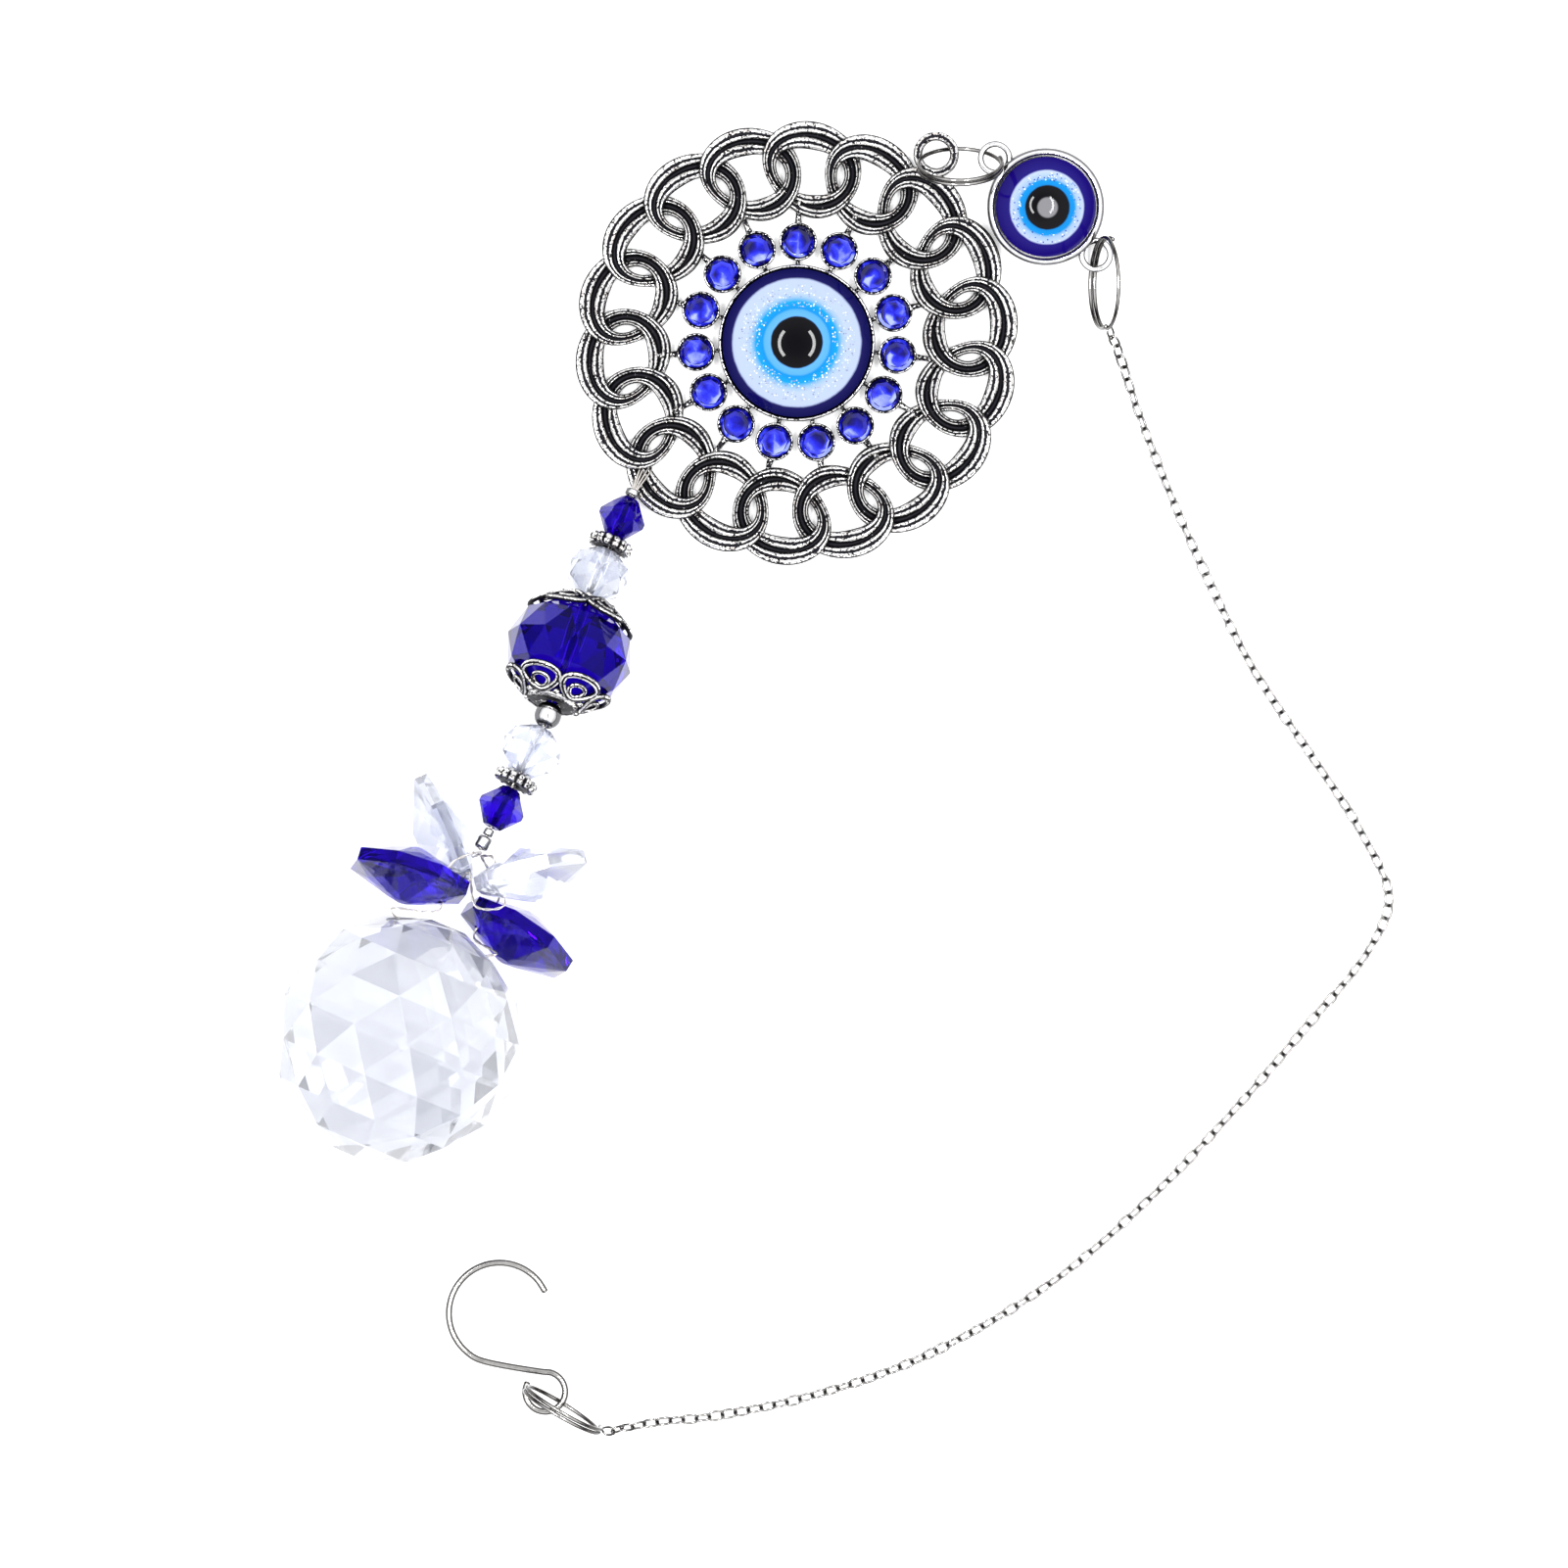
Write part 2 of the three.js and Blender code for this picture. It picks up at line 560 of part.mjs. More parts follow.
function beadingWire() {
  const bends = [UPPER_BEND_AT, LOWER_BEND_AT].flatMap((at) => [at - BEND_SOFTNESS, at + BEND_SOFTNESS]);
  const stops = [WIRE_START, ...bends, STRING_END].map(onString);
  return tube(new THREE.CatmullRomCurve3(stops, false, 'centripetal'), WIRE_RADIUS, 6, WIRE_STEPS);
}

add('beading_wire', beadingWire(), MATERIALS.steel);
strung('bicone_upper', bicone(), BICONE_UPPER_AT, MATERIALS.cobalt);
strung('spacer_upper', roundedRing(...SPACER), SPACER_UPPER_AT, MATERIALS.antiqueSilver);
strung('clear_bead_upper', cutBead(CLEAR_RADIUS, CLEAR_HALF, 8), CLEAR_UPPER_AT, MATERIALS.clear);
strung('bead_cap_upper', beadCap().rotateX(Math.PI), LARGE_BEAD_AT, MATERIALS.antiqueSilver);
strung('large_bead', cutBead(LARGE_RADIUS, LARGE_HALF, 12), LARGE_BEAD_AT, MATERIALS.cobalt);
strung('bead_cap_lower', beadCap(), LARGE_BEAD_AT, MATERIALS.antiqueSilver);
strung('round_bead', roundedRing(...ROUND_BEAD), ROUND_BEAD_AT, MATERIALS.brightSilver);
strung('clear_bead_lower', cutBead(CLEAR_RADIUS, CLEAR_HALF, 8), CLEAR_LOWER_AT, MATERIALS.clear);
strung('spacer_lower', roundedRing(...SPACER), SPACER_LOWER_AT, MATERIALS.antiqueSilver);
strung('bicone_lower', bicone(), BICONE_LOWER_AT, MATERIALS.cobalt);
strung('crimp_bead', roundedRing(...CRIMP_BEAD), CRIMP_BEAD_AT, MATERIALS.brightSilver);
strung('crimp_tube', roundedRing(...CRIMP_TUBE), CRIMP_TUBE_AT, MATERIALS.brightSilver);

// ---------- octagon crystals ----------
// Each has a middle, a long direction that points away from its hole, and a face direction.
const PETALS = {
  petal_blue_left: { at: vec(-46.15, -63.85, 17.4), long: fromAngles(162, 6), face: stringAlong },
  petal_blue_right: { at: vec(-33.5, -71.3, 9.6), long: fromAngles(-34.5, -8), face: stringAlong },
  petal_clear_upper: { at: vec(-42.5, -58.5, 8.9), long: fromAngles(114, -3), face: fromAngles(204, 8) },
  petal_clear_right: { at: vec(-31.4, -63.5, 17.4), long: fromAngles(14, 6), face: fromAngles(-76, 8) },
};

function petalFrame({ at, long, face }) {
  const normal = face.clone().addScaledVector(long, -face.dot(long)).normalize();
  const hole = at.clone().addScaledVector(long, -PETAL_HOLE_AT);
  const mouth = (side) => hole.clone().addScaledVector(normal, side * PETAL_MOUTH);
  return { at, long, normal, hole, mouth };
}

function petal(shape) {
  const { at, long, normal, hole } = petalFrame(shape);
  const corner = PETAL_RADIUS / Math.cos(Math.PI / 8);
  const disc = turned([
    [0, -PETAL_PEAK], [PETAL_TABLE, -PETAL_PEAK], [corner, -PETAL_EDGE],
    [corner, PETAL_EDGE], [PETAL_TABLE, PETAL_PEAK], [0, PETAL_PEAK],
  ], 8).rotateZ(Math.PI / 8);
  moved(disc, long, normal, at);
  const drill = rod(PETAL_HOLE, 4 * PETAL_PEAK, 8, normal, hole);
  return fromManifold(solid(disc).subtract(solid(drill)));
}

for (const [name, shape] of Object.entries(PETALS)) {
  add(name, petal(shape), name.includes('blue') ? MATERIALS.cobalt : MATERIALS.clear);
}

// ---------- crystal ball ----------
const ballPole = STRING_SPLIT.clone().sub(BALL_CENTRE).normalize();
const ballSide = stringSide.clone().addScaledVector(ballPole, -stringSide.dot(ballPole)).normalize();
const ballHoleAlong = ballSide.clone().applyAxisAngle(ballPole, rad(BALL_HOLE_TWIST));
const ballHoleMiddle = BALL_CENTRE.clone().addScaledVector(ballPole, BALL_HOLE_OFFSET);
const ballHoleHalf = Math.sqrt(BALL_RADIUS ** 2 - BALL_HOLE_OFFSET ** 2);

// Rows of corners round the pole, [degrees from the pole, corners in the row].
const BALL_ROWS = [[9, 5], [30, 7], [50, 13], [70, 13], [90, 13], [110, 13], [130, 13], [150, 7], [171, 5]];

function crystalBall() {
  const points = [];
  BALL_ROWS.forEach(([fromPole, count], row) => {
    for (let i = 0; i < count; i += 1) {
      const turn = (FULL_TURN * (i + 0.5 * (row % 2))) / count;
      const r = BALL_RADIUS * Math.sin(rad(fromPole));
      points.push(vec(r * Math.cos(turn), r * Math.sin(turn), BALL_RADIUS * Math.cos(rad(fromPole))));
    }
  });
  const ball = moved(new ConvexGeometry(points), ballSide, ballPole, BALL_CENTRE);
  const drill = rod(BALL_HOLE, 2.6 * ballHoleHalf, 8, ballHoleAlong, ballHoleMiddle);
  return fromManifold(solid(ball).subtract(solid(drill)));
}

add('crystal_ball', crystalBall(), MATERIALS.clear);

// ---------- wires through the crystals ----------
const across = stringSide.clone().cross(ballPole).normalize();
const splitPoint = (side, up) => STRING_SPLIT.clone()
  .addScaledVector(stringSide, side * WIRE_SPREAD).addScaledVector(across, up * WIRE_SPREAD);

// One loop goes out through the left blue crystal, through the ball and back through the right one.
function blueWire() {
  const left = petalFrame(PETALS.petal_blue_left);
  const right = petalFrame(PETALS.petal_blue_right);
  const ballMouth = (side, out, up) => ballHoleMiddle.clone()
    .addScaledVector(ballHoleAlong, side * (ballHoleHalf + out)).addScaledVector(ballPole, up);
  return new THREE.CatmullRomCurve3([
    splitPoint(-1, 1), left.mouth(-1), left.hole, left.mouth(1), ballMouth(-1, ...BALL_MOUTH),
    ballMouth(-1, -BALL_MOUTH_IN, 0), ballMouth(1, -BALL_MOUTH_IN, 0), ballMouth(1, ...BALL_MOUTH),
    right.mouth(1), right.hole, right.mouth(-1), splitPoint(1, -1),
  ], false, 'centripetal');
}

// The other goes through the two clear crystals and passes between their inner ends.
function clearWire() {
  const upper = petalFrame(PETALS.petal_clear_upper);
  const right = petalFrame(PETALS.petal_clear_right);
  const turnBack = (frame) => frame.hole.clone()
    .addScaledVector(frame.long, PETAL_HOLE_AT - PETAL_RADIUS - TURN_BACK)
    .addScaledVector(frame.normal, TURN_LIFT);
  const between = STRING_SPLIT.clone()
    .addScaledVector(stringAlong, CROSSING[0]).addScaledVector(across, CROSSING[1]);
  return new THREE.CatmullRomCurve3([
    splitPoint(-1, -1), upper.mouth(-1), upper.hole, upper.mouth(1), turnBack(upper), between,
    turnBack(right), right.mouth(1), right.hole, right.mouth(-1), splitPoint(1, 1),
  ], false, 'centripetal');
}

add('wire_loop_blue', tube(blueWire(), WIRE_RADIUS, 6, 56), MATERIALS.steel);
add('wire_loop_clear', tube(clearWire(), WIRE_RADIUS, 6, 44), MATERIALS.steel);

export default group;
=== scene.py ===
import json
import math
import random

import bmesh
import bpy
import numpy as np
from mathutils import Matrix, Vector


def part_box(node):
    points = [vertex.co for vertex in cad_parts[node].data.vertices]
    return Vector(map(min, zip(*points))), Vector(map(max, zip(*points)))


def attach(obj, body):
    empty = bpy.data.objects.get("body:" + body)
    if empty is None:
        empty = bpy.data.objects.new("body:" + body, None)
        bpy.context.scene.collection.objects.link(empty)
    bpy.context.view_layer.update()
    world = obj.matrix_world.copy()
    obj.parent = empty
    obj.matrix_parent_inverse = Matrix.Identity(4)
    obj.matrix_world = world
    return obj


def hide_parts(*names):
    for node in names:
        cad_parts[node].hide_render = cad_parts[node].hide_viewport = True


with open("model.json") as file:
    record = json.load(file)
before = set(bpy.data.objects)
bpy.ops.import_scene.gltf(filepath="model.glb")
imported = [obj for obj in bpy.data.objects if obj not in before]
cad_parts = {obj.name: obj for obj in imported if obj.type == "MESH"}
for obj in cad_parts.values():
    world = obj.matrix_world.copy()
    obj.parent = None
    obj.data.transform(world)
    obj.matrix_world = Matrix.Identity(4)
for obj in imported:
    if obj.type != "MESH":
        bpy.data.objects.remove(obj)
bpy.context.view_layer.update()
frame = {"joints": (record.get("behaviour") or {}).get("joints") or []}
MM = 0.001
TAU = 2 * math.pi
Z_UP = Vector((0, 0, 1))
JOINTS = {joint["name"]: joint for joint in frame["joints"]}


# ---------- camera ----------
VIEW_CENTRE = (-1.53 * MM, -52.94 * MM)
VIEW_WIDTH = 188.35 * MM
CAMERA_HEIGHT = 2.5


def make_camera():
    data = bpy.data.cameras.new("camera")
    data.sensor_width = 36
    data.lens = data.sensor_width * CAMERA_HEIGHT / VIEW_WIDTH
    data.clip_start = 0.1
    data.clip_end = 20
    camera = bpy.data.objects.new("camera", data)
    camera.location = (*VIEW_CENTRE, CAMERA_HEIGHT)
    bpy.context.scene.collection.objects.link(camera)
    bpy.context.scene.camera = camera


make_camera()


# ---------- shared shapes ----------
def points(rows):
    return np.array([tuple(row) for row in rows], float)


def unit(rows):
    return rows / np.maximum(np.linalg.norm(rows, axis=-1, keepdims=True), 1e-12)


def catmull(route, count, closed=False):
    """Evenly spaced points on a centripetal Catmull-Rom curve through the route."""
    route = points(route)
    if closed:
        ends = np.vstack([route[-1:], route, route[:2]])
    else:
        ends = np.vstack([2 * route[0] - route[1], route, 2 * route[-1] - route[-2]])
    fine = []
    for p0, p1, p2, p3 in zip(ends, ends[1:], ends[2:], ends[3:]):
        d0, d1, d2 = (max(np.linalg.norm(b - a), 1e-9) ** 0.5 for a, b in ((p0, p1), (p1, p2), (p2, p3)))
        t1 = ((p1 - p0) / d0 - (p2 - p0) / (d0 + d1) + (p2 - p1) / d1) * d1
        t2 = ((p2 - p1) / d1 - (p3 - p1) / (d1 + d2) + (p3 - p2) / d2) * d1
        for t in np.linspace(0, 1, 24, endpoint=False):
            fine.append(
                p1 + t1 * t + (3 * (p2 - p1) - 2 * t1 - t2) * t**2 + (2 * (p1 - p2) + t1 + t2) * t**3
            )
    if not closed:
        fine.append(route[-1])
    return even(points(fine), count, closed)


def even(line, count, closed=False):
    """The same line with that many evenly spaced points."""
    if closed:
        line = np.vstack([line, line[:1]])
    run = np.concatenate([[0], np.cumsum(np.linalg.norm(np.diff(line, axis=0), axis=1))])
    stops = np.linspace(0, run[-1], count + 1)[:-1] if closed else np.linspace(0, run[-1], count)
    return np.stack([np.interp(stops, run, line[:, k]) for k in range(3)], axis=1)


def tangents(line, closed=False):
    if closed:
        return unit(np.roll(line, -1, axis=0) - np.roll(line, 1, axis=0))
    return unit(np.gradient(line, axis=0))


def carried(line, closed=False):
    """An up direction for each point, carried along the line without twist."""
    along = tangents(line, closed)
    up = np.cross(along[0], (0.3, 0.2, 0.93))
    ups = []
    for direction in along:
        up = up - direction * np.dot(up, direction)
        up = up / np.linalg.norm(up)
        ups.append(up)
    return points(ups)


def circle(radius, sides):
    turn = TAU * (np.arange(sides) + 0.5) / sides
    return np.stack([radius * np.cos(turn), radius * np.sin(turn)], axis=1)


class Build:
    """Gathers verts, faces and point values, and makes one piece of them."""

    def __init__(self):
        self.verts = []
        self.faces = []
        self.values = {"groove_and_facet_shade": [], "along": [], "across": []}
        self.count = 0

    def add(self, verts, faces, groove_and_facet_shade=0.0, along=0.0, across=0.0):
        size = len(verts)
        self.verts.append(np.asarray(verts, float))
        self.faces += [tuple(int(i) + self.count for i in face) for face in faces]
        for key, value in (("groove_and_facet_shade", groove_and_facet_shade), ("along", along), ("across", across)):
            self.values[key].append(np.broadcast_to(np.asarray(value, float), (size,)))
        self.count += size

    def sweep(self, line, profile, ups=None, closed=False, groove_and_facet_shade=0.0):
        """A closed profile, in metres across and up, swept along a line."""
        line, profile = np.asarray(line, float), np.asarray(profile, float)
        n, m = len(line), profile.shape[-2]
        along = tangents(line, closed)
        ups = carried(line, closed) if ups is None else np.broadcast_to(np.asarray(ups, float), (n, 3))
        side = unit(np.cross(along, ups))
        lift = unit(np.cross(side, along))
        profile = np.broadcast_to(profile, (n, m, 2))
        verts = line[:, None] + side[:, None] * profile[..., :1] + lift[:, None] * profile[..., 1:]
        faces = []
        for i in range(n if closed else n - 1):
            j = (i + 1) % n
            for k in range(m):
                q = (k + 1) % m
                faces.append((i * m + k, j * m + k, j * m + q, i * m + q))
        if not closed:
            faces.append(tuple(range(m)))
            faces.append(tuple((n - 1) * m + k for k in range(m - 1, -1, -1)))
        run = np.concatenate([[0], np.cumsum(np.linalg.norm(np.diff(line, axis=0), axis=1))])
        runs = np.repeat(run, m)
        sides = np.tile(np.linspace(0, 1, m), n)
        grooves = np.tile(np.broadcast_to(np.asarray(groove_and_facet_shade, float), (m,)), n)
        self.add(verts.reshape(-1, 3), faces, grooves, runs, sides)

    def tube(self, line, radius, sides=12, closed=False, groove_and_facet_shade=0.0):
        self.sweep(line, circle(radius, sides), closed=closed, groove_and_facet_shade=groove_and_facet_shade)

    def lathe(self, profile, sides, matrix=None, groove_and_facet_shade=0.0):
        """A turned shape about its own +Z. The profile closes on itself unless it ends on the axis."""
        profile = np.asarray(profile, float)
        m = len(profile)
        turn = TAU * np.arange(sides) / sides
        verts = np.stack([
            profile[None, :, 0] * np.cos(turn)[:, None],
            profile[None, :, 0] * np.sin(turn)[:, None],
            np.broadcast_to(profile[None, :, 1], (sides, m)),
        ], axis=-1).reshape(-1, 3)
        last = m if profile[0][0] > 0 else m - 1
        faces = []
        for i in range(sides):
            j = (i + 1) % sides
            for k in range(last):
                q = (k + 1) % m
                faces.append((i * m + k, j * m + k, j * m + q, i * m + q))
        steps = np.concatenate([[0], np.cumsum(np.linalg.norm(np.diff(profile, axis=0), axis=1))])
        grooves = np.tile(np.broadcast_to(np.asarray(groove_and_facet_shade, float), (m,)), sides)
        runs = np.repeat(turn * profile[:, 0].max(), m)
        self.add(placed(verts, matrix), faces, grooves, runs, np.tile(steps, sides))

    def ball(self, radius, rings, sides, stretch, matrix, groove_and_facet_shade=0.0):
        """A ball about the matrix's middle, stretched along its +Z."""
        profile = [
            (radius * math.sin(math.pi * k / rings), -radius * stretch * math.cos(math.pi * k / rings))
            for k in range(rings + 1)
        ]
        self.lathe(profile, sides, matrix, groove_and_facet_shade)

    def hull(self, corners, matrix=None):
        """The convex hull of the corners, with flat facets."""
        bm = bmesh.new()
        for corner in placed(points(corners), matrix):
            bm.verts.new(corner)
        bmesh.ops.convex_hull(bm, input=bm.verts)
        bmesh.ops.dissolve_limit(bm, angle_limit=math.radians(0.5), verts=bm.verts, edges=bm.edges)
        bmesh.ops.recalc_face_normals(bm, faces=bm.faces)
        bm.verts.index_update()
        self.add([tuple(v.co) for v in bm.verts], [[v.index for v in f.verts] for f in bm.faces])
        bm.free()

    def make(self, name, look, body, replaces=(), smooth=True, keep_edges=None):
        mesh = bpy.data.meshes.new(name)
        mesh.from_pydata(np.vstack(self.verts).tolist(), [], self.faces)
        for key, parts in self.values.items():
            mesh.attributes.new(key, "FLOAT", "POINT").data.foreach_set(
                "value", np.concatenate(parts).astype(np.float32)
            )
        bm = bmesh.new()
        bm.from_mesh(mesh)
        bmesh.ops.remove_doubles(bm, verts=bm.verts, dist=1e-7)
        bmesh.ops.recalc_face_normals(bm, faces=bm.faces)
        bm.to_mesh(mesh)
        bm.free()
        mesh.validate()
        mesh.polygons.foreach_set("use_smooth", [smooth] * len(mesh.polygons))
        if keep_edges is not None:
            mesh.set_sharp_from_angle(angle=math.radians(keep_edges))
        mesh.materials.append(look)
        piece = bpy.data.objects.new(name, mesh)
        bpy.context.scene.collection.objects.link(piece)
        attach(piece, body)
        if replaces:
            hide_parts(*replaces)
        return piece


def placed(verts, matrix):
    if matrix is None:
        return verts
    matrix = np.array(matrix, float)
    return np.asarray(verts, float) @ matrix[:3, :3].T + matrix[:3, 3]


def frame_at(origin, z_axis, x_axis):
    """A matrix at origin with that Z, and X as near as it can be to that X."""
    z = Vector(z_axis).normalized()
    x = Vector(x_axis)
    x = (x - z * x.dot(z)).normalized()
    return Matrix.Translation(Vector(origin)) @ Matrix((x, z.cross(x), z)).transposed().to_4x4()


def drill(piece, line, radius, sides=16):
    """Cuts a round hole along a line through a piece."""
    cutter = Build()
    cutter.tube(line, radius, sides)
    tool = cutter.make("drill", piece.data.materials[0], "medallion")
    cut = piece.modifiers.new("hole", "BOOLEAN")
    cut.object = tool
    cut.operation = "DIFFERENCE"
    cut.solver = "EXACT"
    graph = bpy.context.evaluated_depsgraph_get()
    mesh = bpy.data.meshes.new_from_object(piece.evaluated_get(graph))
    piece.modifiers.remove(cut)
    old = piece.data
    piece.data = mesh
    bpy.data.meshes.remove(old)
    bpy.data.objects.remove(tool)


# ---------- materials ----------
class Look:
    """A procedural material: a Principled shader and the nodes that feed it."""

    def __init__(self, name, **sockets):
        self.mat = bpy.data.materials.new(name)
        self.mat.use_nodes = True
        self.tree = self.mat.node_tree
        self.shader = self.tree.nodes["Principled BSDF"]
        for socket, value in sockets.items():
            self.shader.inputs[socket.replace("_", " ")].default_value = value

    def node(self, kind, settings=None, **inputs):
        made = self.tree.nodes.new(kind)
        for key, value in (settings or {}).items():
            setattr(made, key, value)
        for key, value in inputs.items():
            key = int(key[1:]) if key[1:].isdigit() else key.replace("_", " ")
            if isinstance(value, bpy.types.NodeSocket):
                self.tree.links.new(value, made.inputs[key])
            else:
                made.inputs[key].default_value = value
        return made

    def feed(self, socket, value):
        self.tree.links.new(value, self.shader.inputs[socket])

    def place(self):
        return self.node("ShaderNodeTexCoord").outputs["Object"]

    def value(self, name):
        return self.node("ShaderNodeAttribute", {"attribute_name": name}).outputs["Fac"]

    def maths(self, operation, a, b):
        return self.node("ShaderNodeMath", {"operation": operation}, _0=a, _1=b).outputs[0]

    def either_way(self, noise, middle, reach):
        """The noise about its middle, times the reach."""
        return self.maths("MULTIPLY", self.maths("SUBTRACT", noise, middle), reach)

    def noise(self, size, detail=2.0, vector=None):
        """Noise from 0 to 1 whose blobs are about that many metres across."""
        return self.node(
            "ShaderNodeTexNoise", Vector=self.place() if vector is None else vector,
            Scale=1 / size, Detail=detail, Roughness=0.5,
        ).outputs["Fac"]

    def spread(self, value, low, high):
        """The value, 0 to 1, spread between low and high."""
        return self.node("ShaderNodeMapRange", Value=value, To_Min=low, To_Max=high).outputs[0]

    def fade(self, value, start, end):
        """0 up to the start and 1 from the end, eased between."""
        return self.node("ShaderNodeMapRange", {"interpolation_type": "SMOOTHSTEP"},
                         Value=value, From_Min=start, From_Max=end).outputs[0]

    def ramp(self, value, stops):
        made = self.node("ShaderNodeValToRGB", Fac=value)
        elements = made.color_ramp.elements
        while len(elements) < len(stops):
            elements.new(0.5)
        for element, (at, colour) in zip(elements, stops):
            element.position = at
            element.color = (*colour, 1)
        return made.outputs["Color"]

    def mix(self, share, a, b):
        made = self.node("ShaderNodeMix", {"data_type": "RGBA"}, _0=share)
        for socket, value in ((made.inputs[6], a), (made.inputs[7], b)):
            if isinstance(value, bpy.types.NodeSocket):
                self.tree.links.new(value, socket)
            else:
                socket.default_value = (*value, 1)
        return made.outputs[2]

    def normal(self):
        """The surface's direction in the piece's own frame."""
        return self.node("ShaderNodeTexCoord").outputs["Normal"]

    def painted_side_shade(self, low, high):
        """0 on top of the piece and 1 on its sides, where shade is painted on."""
        level = self.node("ShaderNodeSeparateXYZ", Vector=self.normal()).outputs[2]
        return self.fade(level, high, low)

    def bump(self, height, distance, strength):
        made = self.node("ShaderNodeBump", Height=height, Distance=distance, Strength=strength)
        self.feed("Normal", made.outputs["Normal"])


def antique_silver():
    """Bright on the ridges, black in the grooves, with a broken edge between them, and painted shade on the
    sides.
    """
    look = Look("antique_silver", Metallic=1.0)
    stipple = look.noise(0.26 * MM, 3.0)
    patch = look.noise(1.4 * MM, 2.0)
    wear_and_side_shade = look.maths("ADD", look.value("groove_and_facet_shade"), look.either_way(stipple, 0.45, 3.0))
    wear_and_side_shade = look.maths("ADD", wear_and_side_shade, look.either_way(patch, 0.5, 1.1))
    # Painted shade: the sides of each piece, where the surface turns away from facing up, are darkened on top
    # of the oxide and wear.
    wear_and_side_shade = look.maths("ADD", wear_and_side_shade, look.maths("MULTIPLY", look.painted_side_shade(0.1, 0.6), 0.7))
    dark = look.fade(wear_and_side_shade, 0.3, 0.5)
    silver = look.ramp(patch, [(0.3, (0.62, 0.61, 0.6)), (0.55, (0.8, 0.79, 0.78)), (0.75, (0.76, 0.7, 0.66))])
    look.feed("Base Color", look.mix(dark, silver, (0.012, 0.012, 0.015)))
    look.feed("Roughness", look.spread(dark, 0.2, 0.55))
    look.bump(look.maths("SUBTRACT", look.maths("MULTIPLY", stipple, 0.6), dark), 0.05 * MM, 0.6)
    return look.mat


def bright_metal(name, tint, edge, roughness, painted_side_shade=(0.15, 0.75)):
    """Polished or drawn metal with faint draw lines, darker on its sides, where shade is painted on."""
    look = Look(name, Metallic=1.0)
    cloud = look.noise(0.9 * MM, 3.0)
    lines = look.node("ShaderNodeCombineXYZ", X=look.maths("MULTIPLY", look.value("along"), 0.05),
                      Y=look.value("across")).outputs[0]
    scratch = look.noise(0.05 * MM, 1.0, vector=lines)
    low = tuple(0.75 * c for c in tint)
    body = look.ramp(cloud, [(0.3, low), (0.6, tint)])
    # Painted shade: the edge colour is laid over the sides of the wire, where its surface turns away from
    # facing up.
    look.feed("Base Color", look.mix(look.painted_side_shade(*painted_side_shade), body, edge))
    look.feed("Roughness", look.spread(scratch, roughness * 0.7, roughness * 1.5))
    look.bump(cloud, 0.02 * MM, 0.1)
    return look.mat


CRYSTAL_IOR = 1.54


def crystal(name, tint, deep, body, sheen=(1, 1, 1)):
    """Cut glass. Each cut face has its own depth of tint and is faintly hazed."""
    look = Look(name, Transmission_Weight=body, IOR=CRYSTAL_IOR, Specular_Tint=(*sheen, 1))
    face = look.noise(0.23, 0.0, vector=look.normal())
    look.feed("Base Color", look.ramp(face, [(0.36, deep), (0.62, tint)]))
    look.feed("Roughness", look.spread(look.noise(0.8 * MM, 2.0), 0.0, 0.02))
    return look.mat


def stone_glass():
    """Foil-backed blue stone: each facet has its own depth of blue, with painted highlights on the facets
    towards -Y and painted shade on the others.
    """
    look = Look("stone_glass", Roughness=0.05, IOR=1.4)
    shade = look.maths("ADD", look.value("groove_and_facet_shade"), look.either_way(look.noise(0.5 * MM, 2.0), 0.5, 0.2))
    look.feed("Base Color", look.ramp(shade, [
        (0.0, (0.001, 0.001, 0.03)), (0.3, (0.002, 0.001, 0.13)), (0.5, (0.005, 0.006, 0.34)),
        (0.72, (0.02, 0.03, 0.58)), (1.0, (0.25, 0.3, 0.7)),
    ]))
    look.bump(look.noise(0.3 * MM, 2.0), 0.02 * MM, 0.3)
    return look.mat


FLAKE_SIZE = 0.26 * MM
FLAKE_REACH = 0.38  # of a flake's own cell
FLAKES_LEFT_OUT = 0.48
# Grey of the painted reflection on a pupil.
PAINTED_REFLECTION_GREY = (0.15, 0.15, 0.16)


